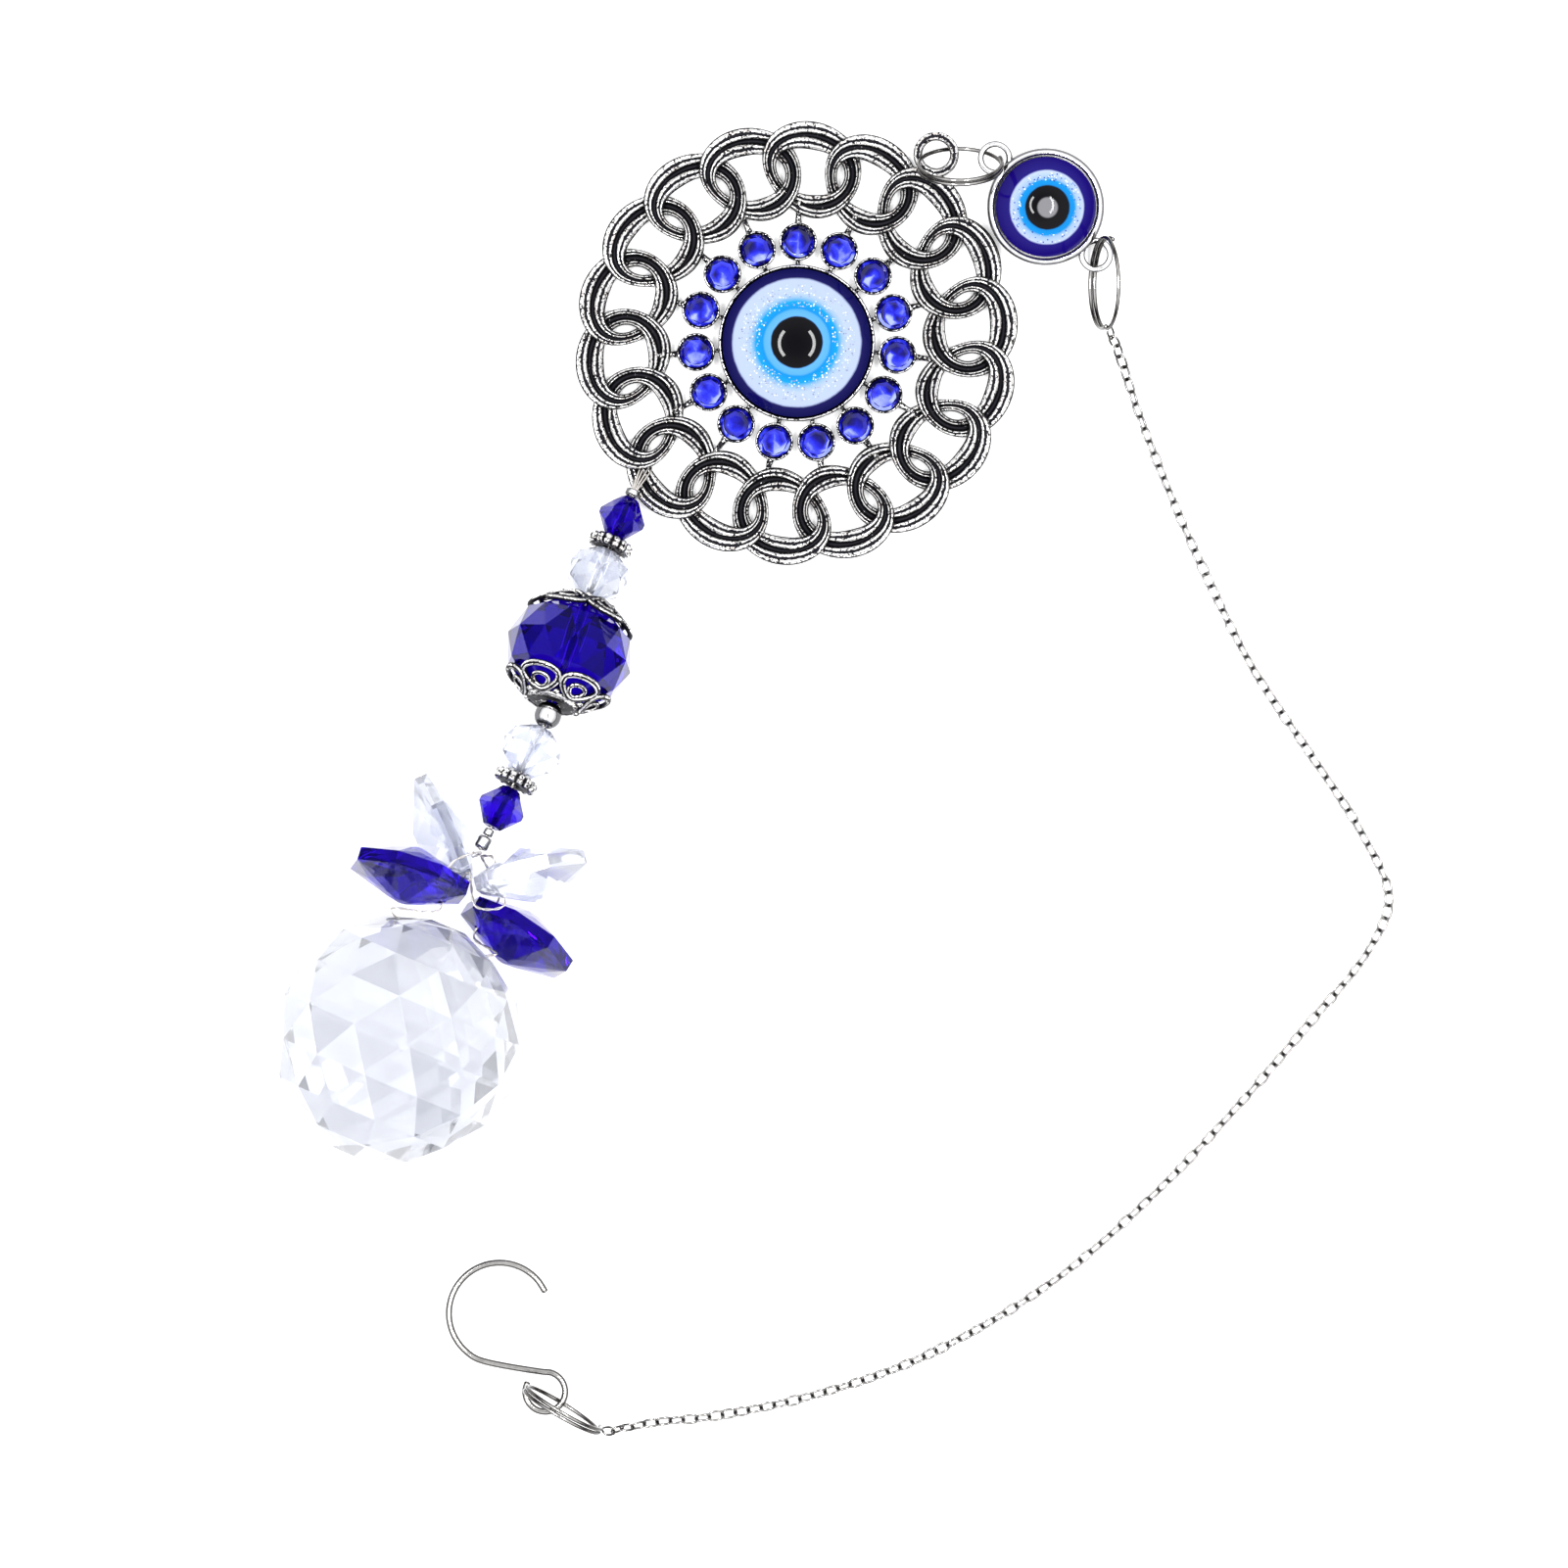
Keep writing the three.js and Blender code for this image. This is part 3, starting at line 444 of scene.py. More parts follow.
def eye_enamel(name, radius, stops, glitter_from, glitter_to, flakes, painted_reflection_radius=0.0):
    """Rings of colour about the piece's own middle, with glitter, and a painted reflection, a grey disc in the
    middle, when one is asked for.
    """
    look = Look(
        name, Roughness=0.4, Specular_IOR_Level=0.0, Coat_Weight=1.0, Coat_Roughness=0.01, Coat_IOR=1.22,
    )
    split = look.node("ShaderNodeSeparateXYZ", Vector=look.place())
    flat = look.node("ShaderNodeCombineXYZ", X=split.outputs[0], Y=split.outputs[1]).outputs[0]
    distance = look.node("ShaderNodeVectorMath", {"operation": "LENGTH"}, _0=flat).outputs["Value"]
    ragged = look.either_way(look.noise(1.2 * MM, 3.0, vector=flat), 0.5, 0.16 * MM)
    share = look.maths("DIVIDE", look.maths("ADD", distance, ragged), radius)
    colour = look.ramp(share, [(at * MM / radius, shade) for at, shade in stops])
    cells = look.node("ShaderNodeTexVoronoi", Vector=flat, Scale=1 / FLAKE_SIZE, Randomness=1.0)
    near = look.maths("LESS_THAN", cells.outputs["Distance"], FLAKE_REACH)
    pick = look.node("ShaderNodeSeparateColor", Color=cells.outputs["Color"])
    chosen = look.maths("GREATER_THAN", pick.outputs[0], FLAKES_LEFT_OUT)
    inside = look.maths("MULTIPLY", look.maths("GREATER_THAN", distance, glitter_from),
                        look.maths("LESS_THAN", distance, glitter_to))
    glitter = look.maths("MULTIPLY", look.maths("MULTIPLY", near, chosen), inside)
    colour = look.mix(glitter, colour, look.ramp(pick.outputs[1], flakes))
    # Painted reflection: grey over the middle out to 0.8 of the given radius, fading out by the radius.
    painted_reflection = look.fade(distance, painted_reflection_radius, 0.8 * painted_reflection_radius) if painted_reflection_radius else 0.0
    look.feed("Base Color", look.mix(painted_reflection, colour, PAINTED_REFLECTION_GREY))
    look.feed("Metallic", look.maths("MULTIPLY", glitter, 0.5))
    return look.mat


def floor_paint():
    look = Look("floor_paint", Roughness=0.9, Emission_Color=(1, 1, 1, 1), Emission_Strength=0.25)
    whites = [(0.3, (0.96, 0.96, 0.96)), (0.7, (0.98, 0.98, 0.98))]
    look.feed("Base Color", look.ramp(look.noise(0.2, 2.0), whites))
    return look.mat


ANTIQUE = antique_silver()
# In each, the third colour is the painted shade on the wire's sides; the last pair, where given, is the upward
# facing at which that shade is full and at which it is gone.
SILVER = bright_metal("bright_silver", (0.74, 0.74, 0.75), (0.08, 0.08, 0.085), 0.12, (0.6, 0.96))
STEEL = bright_metal("steel_wire", (0.42, 0.41, 0.4), (0.055, 0.052, 0.05), 0.14, (0.76, 0.985))
BEADING = bright_metal("beading_steel", (0.62, 0.59, 0.56), (0.3, 0.29, 0.28), 0.22)
CLEAR = crystal("clear_crystal", (0.84, 0.86, 0.91), (0.5, 0.53, 0.65), 0.8)
BALL_GLASS = crystal("ball_crystal", (0.77, 0.78, 0.81), (0.5, 0.515, 0.56), 0.8)
COBALT = crystal("cobalt_crystal", (0.02, 0.002, 0.5), (0.004, 0.0, 0.13), 0.92, sheen=(0.12, 0.1, 0.4))
STONE = stone_glass()
EYE_STOPS = [
    (0.0, (0.001, 0.001, 0.002)), (3.05, (0.001, 0.001, 0.002)), (3.2, (0.07, 0.25, 0.546)),
    (3.85, (0.055, 0.234, 0.546)), (4.1, (0, 0.156, 0.468)), (4.9, (0, 0.203, 0.515)), (5.5, (0.2, 0.31, 0.5)),
    (6.0, (0.29, 0.355, 0.52)), (7.6, (0.31, 0.37, 0.54)), (7.85, (0.003, 0.002, 0.062)),
    (8.9, (0.002, 0.002, 0.047)),
]
CHARM_STOPS = [
    (0.0, (0.001, 0.001, 0.002)), (2.6, (0.001, 0.001, 0.002)), (2.75, (0, 0.14, 0.4)),
    (3.3, (0, 0.17, 0.45)), (3.6, (0.2, 0.3, 0.5)), (4.35, (0.31, 0.37, 0.55)), (4.55, (0.006, 0.002, 0.115)),
    (6.0, (0.005, 0.001, 0.095)),
]
SILVER_FLAKES = [(0.1, (0.16, 0.18, 0.24)), (0.45, (0.34, 0.39, 0.48)), (0.8, (0.7, 0.72, 0.78))]
BLUE_FLAKES = [(0.1, (0.01, 0.03, 0.2)), (0.45, (0.02, 0.12, 0.4)), (0.8, (0.7, 0.75, 0.85))]
EYE_RADIUS = 8.9
CHARM_EYE_RADIUS = 6.0
EYE = eye_enamel("eye_enamel", EYE_RADIUS * MM, EYE_STOPS, 4.3 * MM, 7.0 * MM, SILVER_FLAKES)
# The charm's pupil has a painted reflection out to 1.35 mm from its middle.
CHARM_EYE = eye_enamel(
    "charm_enamel", CHARM_EYE_RADIUS * MM, CHARM_STOPS, 3.2 * MM, 4.3 * MM, BLUE_FLAKES, painted_reflection_radius=1.35 * MM,
)


# ---------- chain ----------
CHAIN_ROUTE = points([
    (37.65, 1.1, 4.9), (38.4, -0.6, 3.2), (39.4, -3.4, 1.5), (40.7, -7.4, 0.85), (43.5, -14.8, 0.8),
    (48.2, -25.8, 0.8), (54.8, -39.1, 0.8), (61.7, -49.4, 0.8), (67.7, -58.6, 0.8), (71.1, -66.6, 0.8),
    (68.8, -72.7, 0.8), (61.1, -82.2, 0.8), (51.8, -92.9, 0.8), (42.5, -102.6, 0.8),
    (30.3, -113.0, 0.8), (15.0, -121.8, 0.8), (1.4, -126.5, 0.8), (-11.1, -129.0, 0.8),
    (-16.4, -129.5, 0.85), (-20.0, -130.1, 2.0), (-22.5, -130.5, 4.4),
]) * MM
CHAIN_PITCH = 1.56 * MM
CHAIN_WIRE = 0.145 * MM
CHAIN_LINK_LONG = 0.915 * MM  # half, to the wire's middle
CHAIN_LINK_WIDE = 0.585 * MM
END_REACH = 0.9 * MM  # how much further the end links reach, round the rings


def chain_link():
    """The middle line of one oval link: two round ends and two straight sides."""
    turn = TAU * np.arange(20) / 20
    straight = CHAIN_LINK_LONG - CHAIN_LINK_WIDE
    x = CHAIN_LINK_WIDE * np.cos(turn) + straight * np.tanh(4 * np.cos(turn))
    y = CHAIN_LINK_WIDE * np.sin(turn)
    return np.stack([x, y, np.zeros(20)], axis=1)


def make_chain():
    rng = random.Random(7)
    line = catmull(CHAIN_ROUTE, 1200)
    length = float(np.linalg.norm(np.diff(line, axis=0), axis=1).sum())
    ends = [line[0] + unit(line[0] - line[5]) * END_REACH, line[-1] + unit(line[-1] - line[-6]) * END_REACH]
    reached = np.vstack([ends[:1], line, ends[1:]])
    count = round(length / CHAIN_PITCH)
    middles = even(reached, 2 * count + 1)[1::2]
    along = tangents(middles)
    oval = chain_link()
    build = Build()
    for i, (middle, direction) in enumerate(zip(middles, along)):
        tilt = math.radians((48 if i % 2 else -42) + rng.uniform(-16, 16))
        side = Vector(direction).cross(Z_UP).normalized()
        up = side.cross(Vector(direction)).normalized()
        normal = up * math.cos(tilt) + side * math.sin(tilt)
        turn = frame_at(middle, normal, direction)
        build.sweep(placed(oval, turn), circle(CHAIN_WIRE, 7), ups=tuple(normal), closed=True)
    piece = build.make("cable_chain", STEEL, "chain", ["chain"])
    return piece, line, length


chain, chain_line, chain_length = make_chain()


# ---------- doubled wire rings ----------
RING_WIRE = 0.25
RING_WIRE_SEEN = 0.245
RING_PITCH = 0.54
RING_TURNS = 1.6
RING_CLEARANCE = 0.05


def wire_ring(name, node, at, radius, along, lean, tilt, doubled):
    """A coil of a little over one and a half turns, set up as in the CAD."""
    along = Vector(along)
    rise = Vector(lean) * math.cos(math.radians(tilt)) + Z_UP * math.sin(math.radians(tilt))
    normal = along.cross(rise) * doubled
    level = radius * math.sin(math.radians(tilt)) + RING_WIRE + RING_CLEARANCE
    level += RING_PITCH * RING_TURNS * abs(normal.z) / 2
    share = np.linspace(-0.5, 0.5, 161)
    turn = TAU * RING_TURNS * share - math.pi / 2
    coil = np.stack([radius * np.cos(turn), radius * np.sin(turn), RING_PITCH * RING_TURNS * share], axis=1)
    build = Build()
    build.tube(placed(coil, frame_at((at[0], at[1], level), normal, along)) * MM, RING_WIRE_SEEN * MM, 16)
    return build.make(name, STEEL, node, [node])


wire_ring("ring_upper_coil", "split_ring_upper", (19.6, 21.2), 5.0, (1, 0, 0), (0, -1, 0), 64.5, 1)
wire_ring("ring_lower_coil", "split_ring_lower", (37.0, 7.1), 5.45, (0, 1, 0), (1, 0, 0), 74, -1)
hook_ring = wire_ring(
    "hook_ring_coil", "hook_ring", (-28.03, -127.93), 5.1, (0.857, -0.515, 0), (-0.515, -0.857, 0), 84.5, 1,
)


# ---------- hook ----------
HOOK_ARC = ((-35.7, -116.5), 6.07, 26, 246)  # middle, radius, and the angles it runs between
HOOK_EYE_ARC = ((-30.2, -125.9), 2.4, 96, -206)
HOOK_STEPS = 14
HOOK_LOW = 0.42
HOOK_HIGH = 1.36
HOOK_CLIMB_OVER = 17
HOOK_WIRE = 0.395
HOOK_TIP = 0.39


def make_hook():
    top = HOOK_ARC[0][1] + HOOK_ARC[1]
    route = []
    for middle, radius, start, end in (HOOK_ARC, HOOK_EYE_ARC):
        for i in range(HOOK_STEPS + 1):
            turn = math.radians(start + (end - start) * i / HOOK_STEPS)
            y = middle[1] + radius * math.sin(turn)
            share = min(max((top - y) / HOOK_CLIMB_OVER, 0), 1)
            route.append((middle[0] + radius * math.cos(turn), y, HOOK_LOW + (HOOK_HIGH - HOOK_LOW) * share))
    line = catmull(points(route) * MM, 220)
    build = Build()
    build.sweep(line, circle(HOOK_WIRE * MM, 18))
    for end, inward in ((line[0], line[2]), (line[-1], line[-3])):
        out = Vector(end) - Vector(inward)
        build.ball(HOOK_TIP * MM, 8, 16, 0.5, frame_at(end, out, Z_UP))
    return build.make("hook_wire", STEEL, "s_hook", ["s_hook"])


hook = make_hook()


# ---------- medallion ----------
LINK_COUNT = 18
LINK_RING_RADIUS = 20.9
LINK_FIRST_ANGLE = 5.35
LINK_HALF_WIDTH = 5.86
LINK_HALF_HEIGHT = 5.8
LINK_SLANT = -0.15
LINK_WAVE = 0.6
LINK_LEVEL = 1.35
BAND_MIDDLE, BAND_RIGHT, BAND_TOP, BAND_SIDES = 1.21, 0.125, 0.15, -0.34
STRAND_GAP = 0.55
BED_DROP = 0.35
BED_RADIUS = 0.42
RIM_STEPS = 96
STONE_COUNT = 15
STONE_RING_RADIUS = 12.15
STONE_FIRST_ANGLE = 0.8
STONE_RADIUS = 1.93
BEZEL_RADIUS = 9.4
EYELET_AT = points([(16.73, 22.63, 1.7)])
EYELET_RADIUS = 2.2
EYELET_WIRE = 0.54
ANCHOR_BAR_HALF = 2.3


def band_half_width(turn):
    """Half a link's width: broad at its top and narrow where it crosses over its neighbour."""
    return BAND_MIDDLE + BAND_RIGHT * np.cos(turn) + BAND_TOP * np.sin(turn) + BAND_SIDES * np.cos(2 * turn)


def wrapped(turn, share, angle, lift=0.0):
    """A point between a link's inner edge, -1, and outer edge, 1, wrapped round the medallion."""
    inward = band_half_width(turn) * (1 - share)
    y = (LINK_HALF_HEIGHT - inward) * np.sin(turn)
    x = (LINK_HALF_WIDTH - inward) * np.cos(turn) + LINK_SLANT * y
    z = LINK_LEVEL - LINK_WAVE * np.sin(2 * turn) + lift
    distance = LINK_RING_RADIUS + y
    direction = math.radians(90 - angle) - x / LINK_RING_RADIUS
    return np.stack([distance * np.cos(direction), distance * np.sin(direction), z], axis=-1) * MM


def strand_profile():
    """One strand's cross-section: a crowned band with two ridges, and how deep each point lies."""
    rows, depth = [], []
    for x in np.linspace(-1, 1, 31):
        ridge = 0.5 - 0.5 * math.cos(TAU * x)
        crown = math.sqrt(max(0.0, 1 - 0.8 * x * x))
        rows.append((x, 0.62 * crown - 0.16 * (1 - ridge)))
        depth.append(1.5 if abs(x) > 0.8 else 1.4 * (1 - ridge) ** 3)
    for x, y in ((1.0, -0.1), (0.7, -0.55), (-0.7, -0.55), (-1.0, -0.1)):
        rows.append((x, y))
        depth.append(1.3)
    return np.array(rows), depth


def make_rim():
    """The woven links: two ridged strands each, with a dark bed between them."""
    profile, depth = strand_profile()
    turn = TAU * np.arange(RIM_STEPS) / RIM_STEPS
    gap = STRAND_GAP * np.clip(0.9 * np.cos(turn) + 0.5, 0.25, 1)
    half = (2 * band_half_width(turn) - gap) / 4
    offset = 1 - half / band_half_width(turn)
    shape = profile[None] * np.stack([half, np.ones(RIM_STEPS)], axis=1)[:, None] * MM
    for i in range(LINK_COUNT):
        angle = LINK_FIRST_ANGLE + 360 / LINK_COUNT * i
        build = Build()
        for side in (-1, 1):
            line = wrapped(turn, side * offset, angle)
            build.sweep(line, shape, ups=(0, 0, 1), closed=True, groove_and_facet_shade=depth)
        bed = wrapped(turn, 0, angle, -BED_DROP)
        build.sweep(bed, circle(BED_RADIUS * MM, 10), ups=(0, 0, 1), closed=True, groove_and_facet_shade=1.0)
        build.make(f"rim_link_{i + 1:02d}", ANTIQUE, "medallion", ["medallion_casting"])


def stone_direction(index):
    turn = math.radians(90 - STONE_FIRST_ANGLE - 360 / STONE_COUNT * index)
    return Vector((math.cos(turn), math.sin(turn), 0))


def make_cups():
    """A cup for each stone, four small claws on each, and the bars that tie them to rim and bezel."""
    build = Build()
    for i in range(STONE_COUNT):
        out = stone_direction(i)
        at = frame_at(out * STONE_RING_RADIUS * MM, Z_UP, out)
        wall = [
            (0, 0.5), (1.9, 0.5), (2.2, 0.8), (2.28, 2.2), (2.2, 2.48), (2.08, 2.5), (2.04, 2.3), (2.0, 1.6),
            (0, 1.5),
        ]
        depth = [1.1, 1.1, 1.0, 0.6, 0.25, 0.25, 1.0, 1.1, 1.1]
        build.lathe(np.array(wall) * MM, 36, at, depth)
        for k in range(4):
            turn = math.radians(45 + 90 * k)
            claw = at @ Matrix.Translation(Vector((2.06 * math.cos(turn), 2.06 * math.sin(turn), 2.46)) * MM)
            build.ball(0.19 * MM, 6, 10, 0.9, claw, 0.35)
        for start, end, half in ((BEZEL_RADIUS - 0.15, 10.2, 0.4), (14.1, 17.0, 0.5)):
            steps = np.linspace(start, end, 8)
            line = points([tuple(out * s) for s in steps]) + (0, 0, 1.05)
            waist = 1 - 0.35 * np.sin(math.pi * np.linspace(0, 1, 8))
            bar = circle(1, 12)[None] * np.stack([half * waist, 0.5 * waist], axis=1)[:, None]
            build.sweep(line * MM, bar * MM, ups=(0, 0, 1), groove_and_facet_shade=0.4)
    build.make("stone_cups", ANTIQUE, "medallion", ["medallion_casting"])


def make_stones():
    """Brilliant-cut stones: a table seen through to the pavilion's wedges, a crown and a girdle."""
    rng = random.Random(11)
    crown = [(0.0, 3.2), (0.52, 3.24), (0.8, 2.98), (1.0, 2.5), (0.97, 2.3), (0.55, 1.72), (0.0, 1.7)]
    for i in range(STONE_COUNT):
        build = Build()
        out = stone_direction(i)
        at = frame_at(out * STONE_RING_RADIUS * MM, Z_UP, out)
        spin = rng.uniform(0, 1)
        for row, ((r0, z0), (r1, z1)) in enumerate(zip(crown, crown[1:])):
            sides = 8 if row < 2 else 16
            for k in range(sides):
                # Painted light: low is how far a facet faces world -Y; facets on that side get painted
                # highlights and those on the other side painted shade, on top of a random shade each, and some
                # facets well towards -Y get a further painted highlight.
                low = -math.sin(math.atan2(out.y, out.x) + TAU * (k + spin) / sides)
                shade = rng.choice((0.1, 0.4, 0.55, 0.8)) + (0.04 + 0.06 * row) * low if row < 3 else 0.0
                shade += 0.45 if row > 0 and low > 0.2 and rng.random() < 0.55 else 0.0
                turns = [TAU * (k + d + spin) / sides for d in (-0.5, 0.5)]
                corners = [(r0, z0, turns[0]), (r0, z0, turns[1]), (r1, z1, turns[1]), (r1, z1, turns[0])]
                corners = corners[1:] if r0 == 0 else corners
                corners = corners[:-1] if r1 == 0 else corners
                verts = [
                    (STONE_RADIUS * r * math.cos(t), STONE_RADIUS * r * math.sin(t), z) for r, z, t in corners
                ]
                build.add(placed(points(verts) * MM, at), [tuple(range(len(verts)))], shade)
        name = f"rhinestone_{i + 1:02d}"
        build.make(f"gem_{i + 1:02d}", STONE, "medallion", [name], smooth=False)


def make_bezel():
    build = Build()
    wall = [
        (0.0, 0.0), (9.1, 0.0), (9.38, 0.3), (9.4, 0.6), (9.22, 0.75), (9.4, 0.95), (9.4, 2.2), (9.36, 2.5),
        (9.25, 2.68), (9.12, 2.66), (9.08, 2.4), (9.05, 1.2), (0.0, 0.9),
    ]
    depth = [0.6, 0.6, 0.3, 0.3, 1.1, 0.2, 0.3, 0.1, 0.0, 0.3, 1.0, 1.1, 1.1]
    build.lathe(np.array(wall) * MM, 120, None, depth)
    build.make("eye_bezel", ANTIQUE, "medallion", ["medallion_casting"])


def make_eyelet():
    """The cast loop the upper ring hangs in, and the strand under the rim that the string is tied to."""
    build = Build()
    turn = TAU * np.arange(64) / 64
    line = EYELET_AT + EYELET_RADIUS * np.stack([np.cos(turn), np.sin(turn), 0 * turn], axis=1)
    profile = circle(EYELET_WIRE * MM, 24)
    ridge = [1.2 if y < 0 or abs(x) > 0.9 or abs(x) < 0.14 else 0.0 for x, y in circle(1, 24)]
    build.sweep(line * MM, profile, ups=(0, 0, 1), closed=True, groove_and_facet_shade=ridge)
    build.make("rim_eyelet", ANTIQUE, "medallion", ["medallion_casting"])
    pivot = Vector(JOINTS["string_front_back"]["pos_m"])
    along = Vector(JOINTS["string_front_back"]["axis"]).normalized()
    bar = Build()
    steps = np.linspace(-ANCHOR_BAR_HALF, ANCHOR_BAR_HALF, 12)
    bar.tube(points([tuple(pivot + along * s * MM) for s in steps]), 0.35 * MM, 16, groove_and_facet_shade=1.3)
    bar.make("anchor_bar", ANTIQUE, "medallion", ["medallion_casting"])


def dome(build, radius, foot, girdle, height, sides):
    """A domed stone from its own middle."""
    sphere = (radius * radius + height * height) / (2 * height)
    rows = [(0, foot), (radius - 0.1, foot), (radius, foot + 0.1), (radius, girdle)]
    for k in range(1, 24):
        r = radius * math.cos(math.pi / 2 * k / 24)
        rows.append((r, girdle + height - sphere + math.sqrt(sphere * sphere - r * r)))
    rows.append((0, girdle + height))
    build.lathe(np.array(rows) * MM, sides)


def make_domed_eye(name, node, body, look, matrix, sizes):
    build = Build()
    dome(build, *sizes)
    piece = build.make(name, look, body, [node], keep_edges=50)
    piece.matrix_world = matrix


make_rim()
make_cups()
make_stones()
make_bezel()
make_eyelet()
make_domed_eye(
    "medallion_eye", "eye_cabochon", "medallion", EYE, Matrix.Identity(4), (EYE_RADIUS, 1.1, 2.8, 3.4, 96),
)


# ---------- charm ----------
CHARM_MATRIX = (
    Matrix.Translation(Vector((29.74, 16.45, 0.66)) * MM)
    @ Matrix.Rotation(math.radians(-43.6), 4, "Z")
    @ Matrix.Rotation(math.radians(4.8), 4, "Y")
)


CHARM_UP = tuple(CHARM_MATRIX.col[2][:3])
CHARM_EYELET_AT = 8.4
CHARM_EYELET_RADIUS = 1.72
CHARM_EYELET_WIRE = 0.3


def make_charm():
    build = Build()
    wall = [
        (0.0, 0.0), (6.3, 0.0), (6.8, 0.35), (7.0, 0.85), (7.05, 2.2), (6.95, 2.65), (6.7, 2.88), (6.45, 2.9),
        (6.25, 2.75), (6.2, 2.3), (6.2, 1.1), (0.0, 0.9),
    ]
    build.lathe(np.array(wall) * MM, 96, CHARM_MATRIX)
    turn = TAU * np.arange(48) / 48
    for side in (-1, 1):
        x = CHARM_EYELET_RADIUS * np.cos(turn) + side * CHARM_EYELET_AT
        loop = np.stack([x, CHARM_EYELET_RADIUS * np.sin(turn), 0 * turn + 1.85], axis=1)
        wire = circle(CHARM_EYELET_WIRE * MM, 16) * (1.25, 1)
        build.sweep(placed(loop * MM, CHARM_MATRIX), wire, closed=True, ups=CHARM_UP)
        tab = np.linspace(6.5, 7.02, 5)
        line = np.stack([side * tab, 0 * tab, 0 * tab + 1.8], axis=1)
        shape = circle(1, 16)[None] * np.stack([np.linspace(1.6, 0.9, 5), np.full(5, 0.32)], axis=1)[:, None]
        build.sweep(placed(line * MM, CHARM_MATRIX), shape * MM, ups=CHARM_UP)
    build.make("charm_bezel", SILVER, "charm", ["charm_frame"], keep_edges=40)
    make_domed_eye(
        "charm_eye", "charm_cabochon", "charm", CHARM_EYE, CHARM_MATRIX, (CHARM_EYE_RADIUS, 1.1, 2.95, 2.4, 72),
    )


make_charm()


# ---------- bead string ----------
def from_angles(plan, climb):
    plan, climb = math.radians(plan), math.radians(climb)
    return Vector((math.cos(plan) * math.cos(climb), math.sin(plan) * math.cos(climb), math.sin(climb)))


ALONG = from_angles(246.9, 14.9)
SIDE = from_angles(336.9, 0)
START = Vector((-19.0, -16.41, 2.0)) * MM
SPLIT = Vector((-38.166, -61.343, 14.998)) * MM
UPPER_BEND_AT = 16.1
LOWER_BEND_AT = 33.3
LARGE_ALONG = from_angles(251.6, 19)
UPPER_BEND = START + ALONG * UPPER_BEND_AT * MM
LOWER_BEND = UPPER_BEND + LARGE_ALONG * (LOWER_BEND_AT - UPPER_BEND_AT) * MM
RUNS = (
    (0.0, START, ALONG), (UPPER_BEND_AT, UPPER_BEND, LARGE_ALONG),
    (LOWER_BEND_AT, LOWER_BEND, (SPLIT - LOWER_BEND).normalized()),
)


def string_frame(distance):
    """A matrix on the string that far down, with +Z along it."""
    start_at, start, along = [run for run in RUNS if distance >= run[0]][-1]
    return frame_at(start + along * (distance - start_at) * MM, along, SIDE)


def on_string(distance):
    return string_frame(distance).translation


def bead_frame(node):
    joint = JOINTS[node + "_spin"]
    return frame_at(joint["pos_m"], joint["axis"], SIDE)


def ring_rows(rows):
    """Corners for a cut bead from rows of [radius, height, corners, phase], in millimetres."""
    corners = []
    for radius, height, count, phase in rows:
        for i in range(count):
            turn = TAU * (i + phase) / count
            corners.append((radius * math.cos(turn) * MM, radius * math.sin(turn) * MM, height * MM))
    return corners


def cut_bead(name, node, look, rows, half, hole):
    at = bead_frame(node)
    build = Build()
    build.hull(ring_rows(rows), at)
    piece = build.make(name, look, node, [node], smooth=False)
    reach = at.to_3x3() @ Z_UP * half * 1.4 * MM
    drill(piece, [at.translation - reach, at.translation + reach], hole * MM)


def make_beads():
    for place in ("upper", "lower"):
        rows = [(1.12, z * 2.6, 6, 0.0) for z in (-1, 1)]
        rows += [(2.12, z * 1.35, 6, 0.5) for z in (-1, 1)]
        rows += [(2.85, z * 0.32, 6, 0.0) for z in (-1, 1)]
        cut_bead(f"bicone_{place}_cut", f"bicone_{place}", COBALT, rows, 2.6, 0.5)
        rows = [(1.5, z * 3.0, 8, 0.0) for z in (-1, 1)]
        rows += [(3.38, z * 1.65, 8, 0.5) for z in (-1, 1)]
        rows += [(3.95, 0.0, 16, 0.0)]
        cut_bead(f"clear_bead_{place}_cut", f"clear_bead_{place}", CLEAR, rows, 3.0, 0.55)
    rows = [(3.1, z * 6.1, 12, 0.0) for z in (-1, 1)]
    rows += [(6.67, z * 3.355, 12, 0.5) for z in (-1, 1)]
    rows += [(7.75, 0.0, 12, 0.0)]
    cut_bead("large_bead_cut", "large_bead", COBALT, rows, 6.1, 0.6)


def make_spacers():
    """Daisy spacers: a ring with a row of grains round its edge beside each face."""
    for place in ("upper", "lower"):
        node = f"spacer_{place}"
        at = bead_frame(node)
        build = Build()
        wall = [(0.8, -0.5), (1.9, -0.62), (2.25, -0.4), (2.25, 0.4), (1.9, 0.62), (0.8, 0.5)]
        build.lathe(np.array(wall) * MM, 48, at, [0.6, 0.2, 1.1, 1.1, 0.2, 0.6])
        for k in range(14):
            turn = TAU * k / 14
            for z in (-0.27, 0.27):
                grain = Matrix.Translation(Vector((2.3 * math.cos(turn), 2.3 * math.sin(turn), z)) * MM)
                build.ball(0.43 * MM, 8, 12, 1.0, at @ grain, 0.1)
        build.make(f"daisy_{place}", ANTIQUE, node, [node])


def cap_surface(share):
    """A point of the cap's middle surface, from its collar, 0, to its lip, 1."""
    start, end = (3.1, 6.1), (6.67, 3.355)
    slope = Vector((end[0] - start[0], end[1] - start[1])).normalized()
    outward = Vector((-slope.y, slope.x))
    reach = Vector(start).lerp(Vector(end), 0.8 * share)
    return reach + outward * 0.55


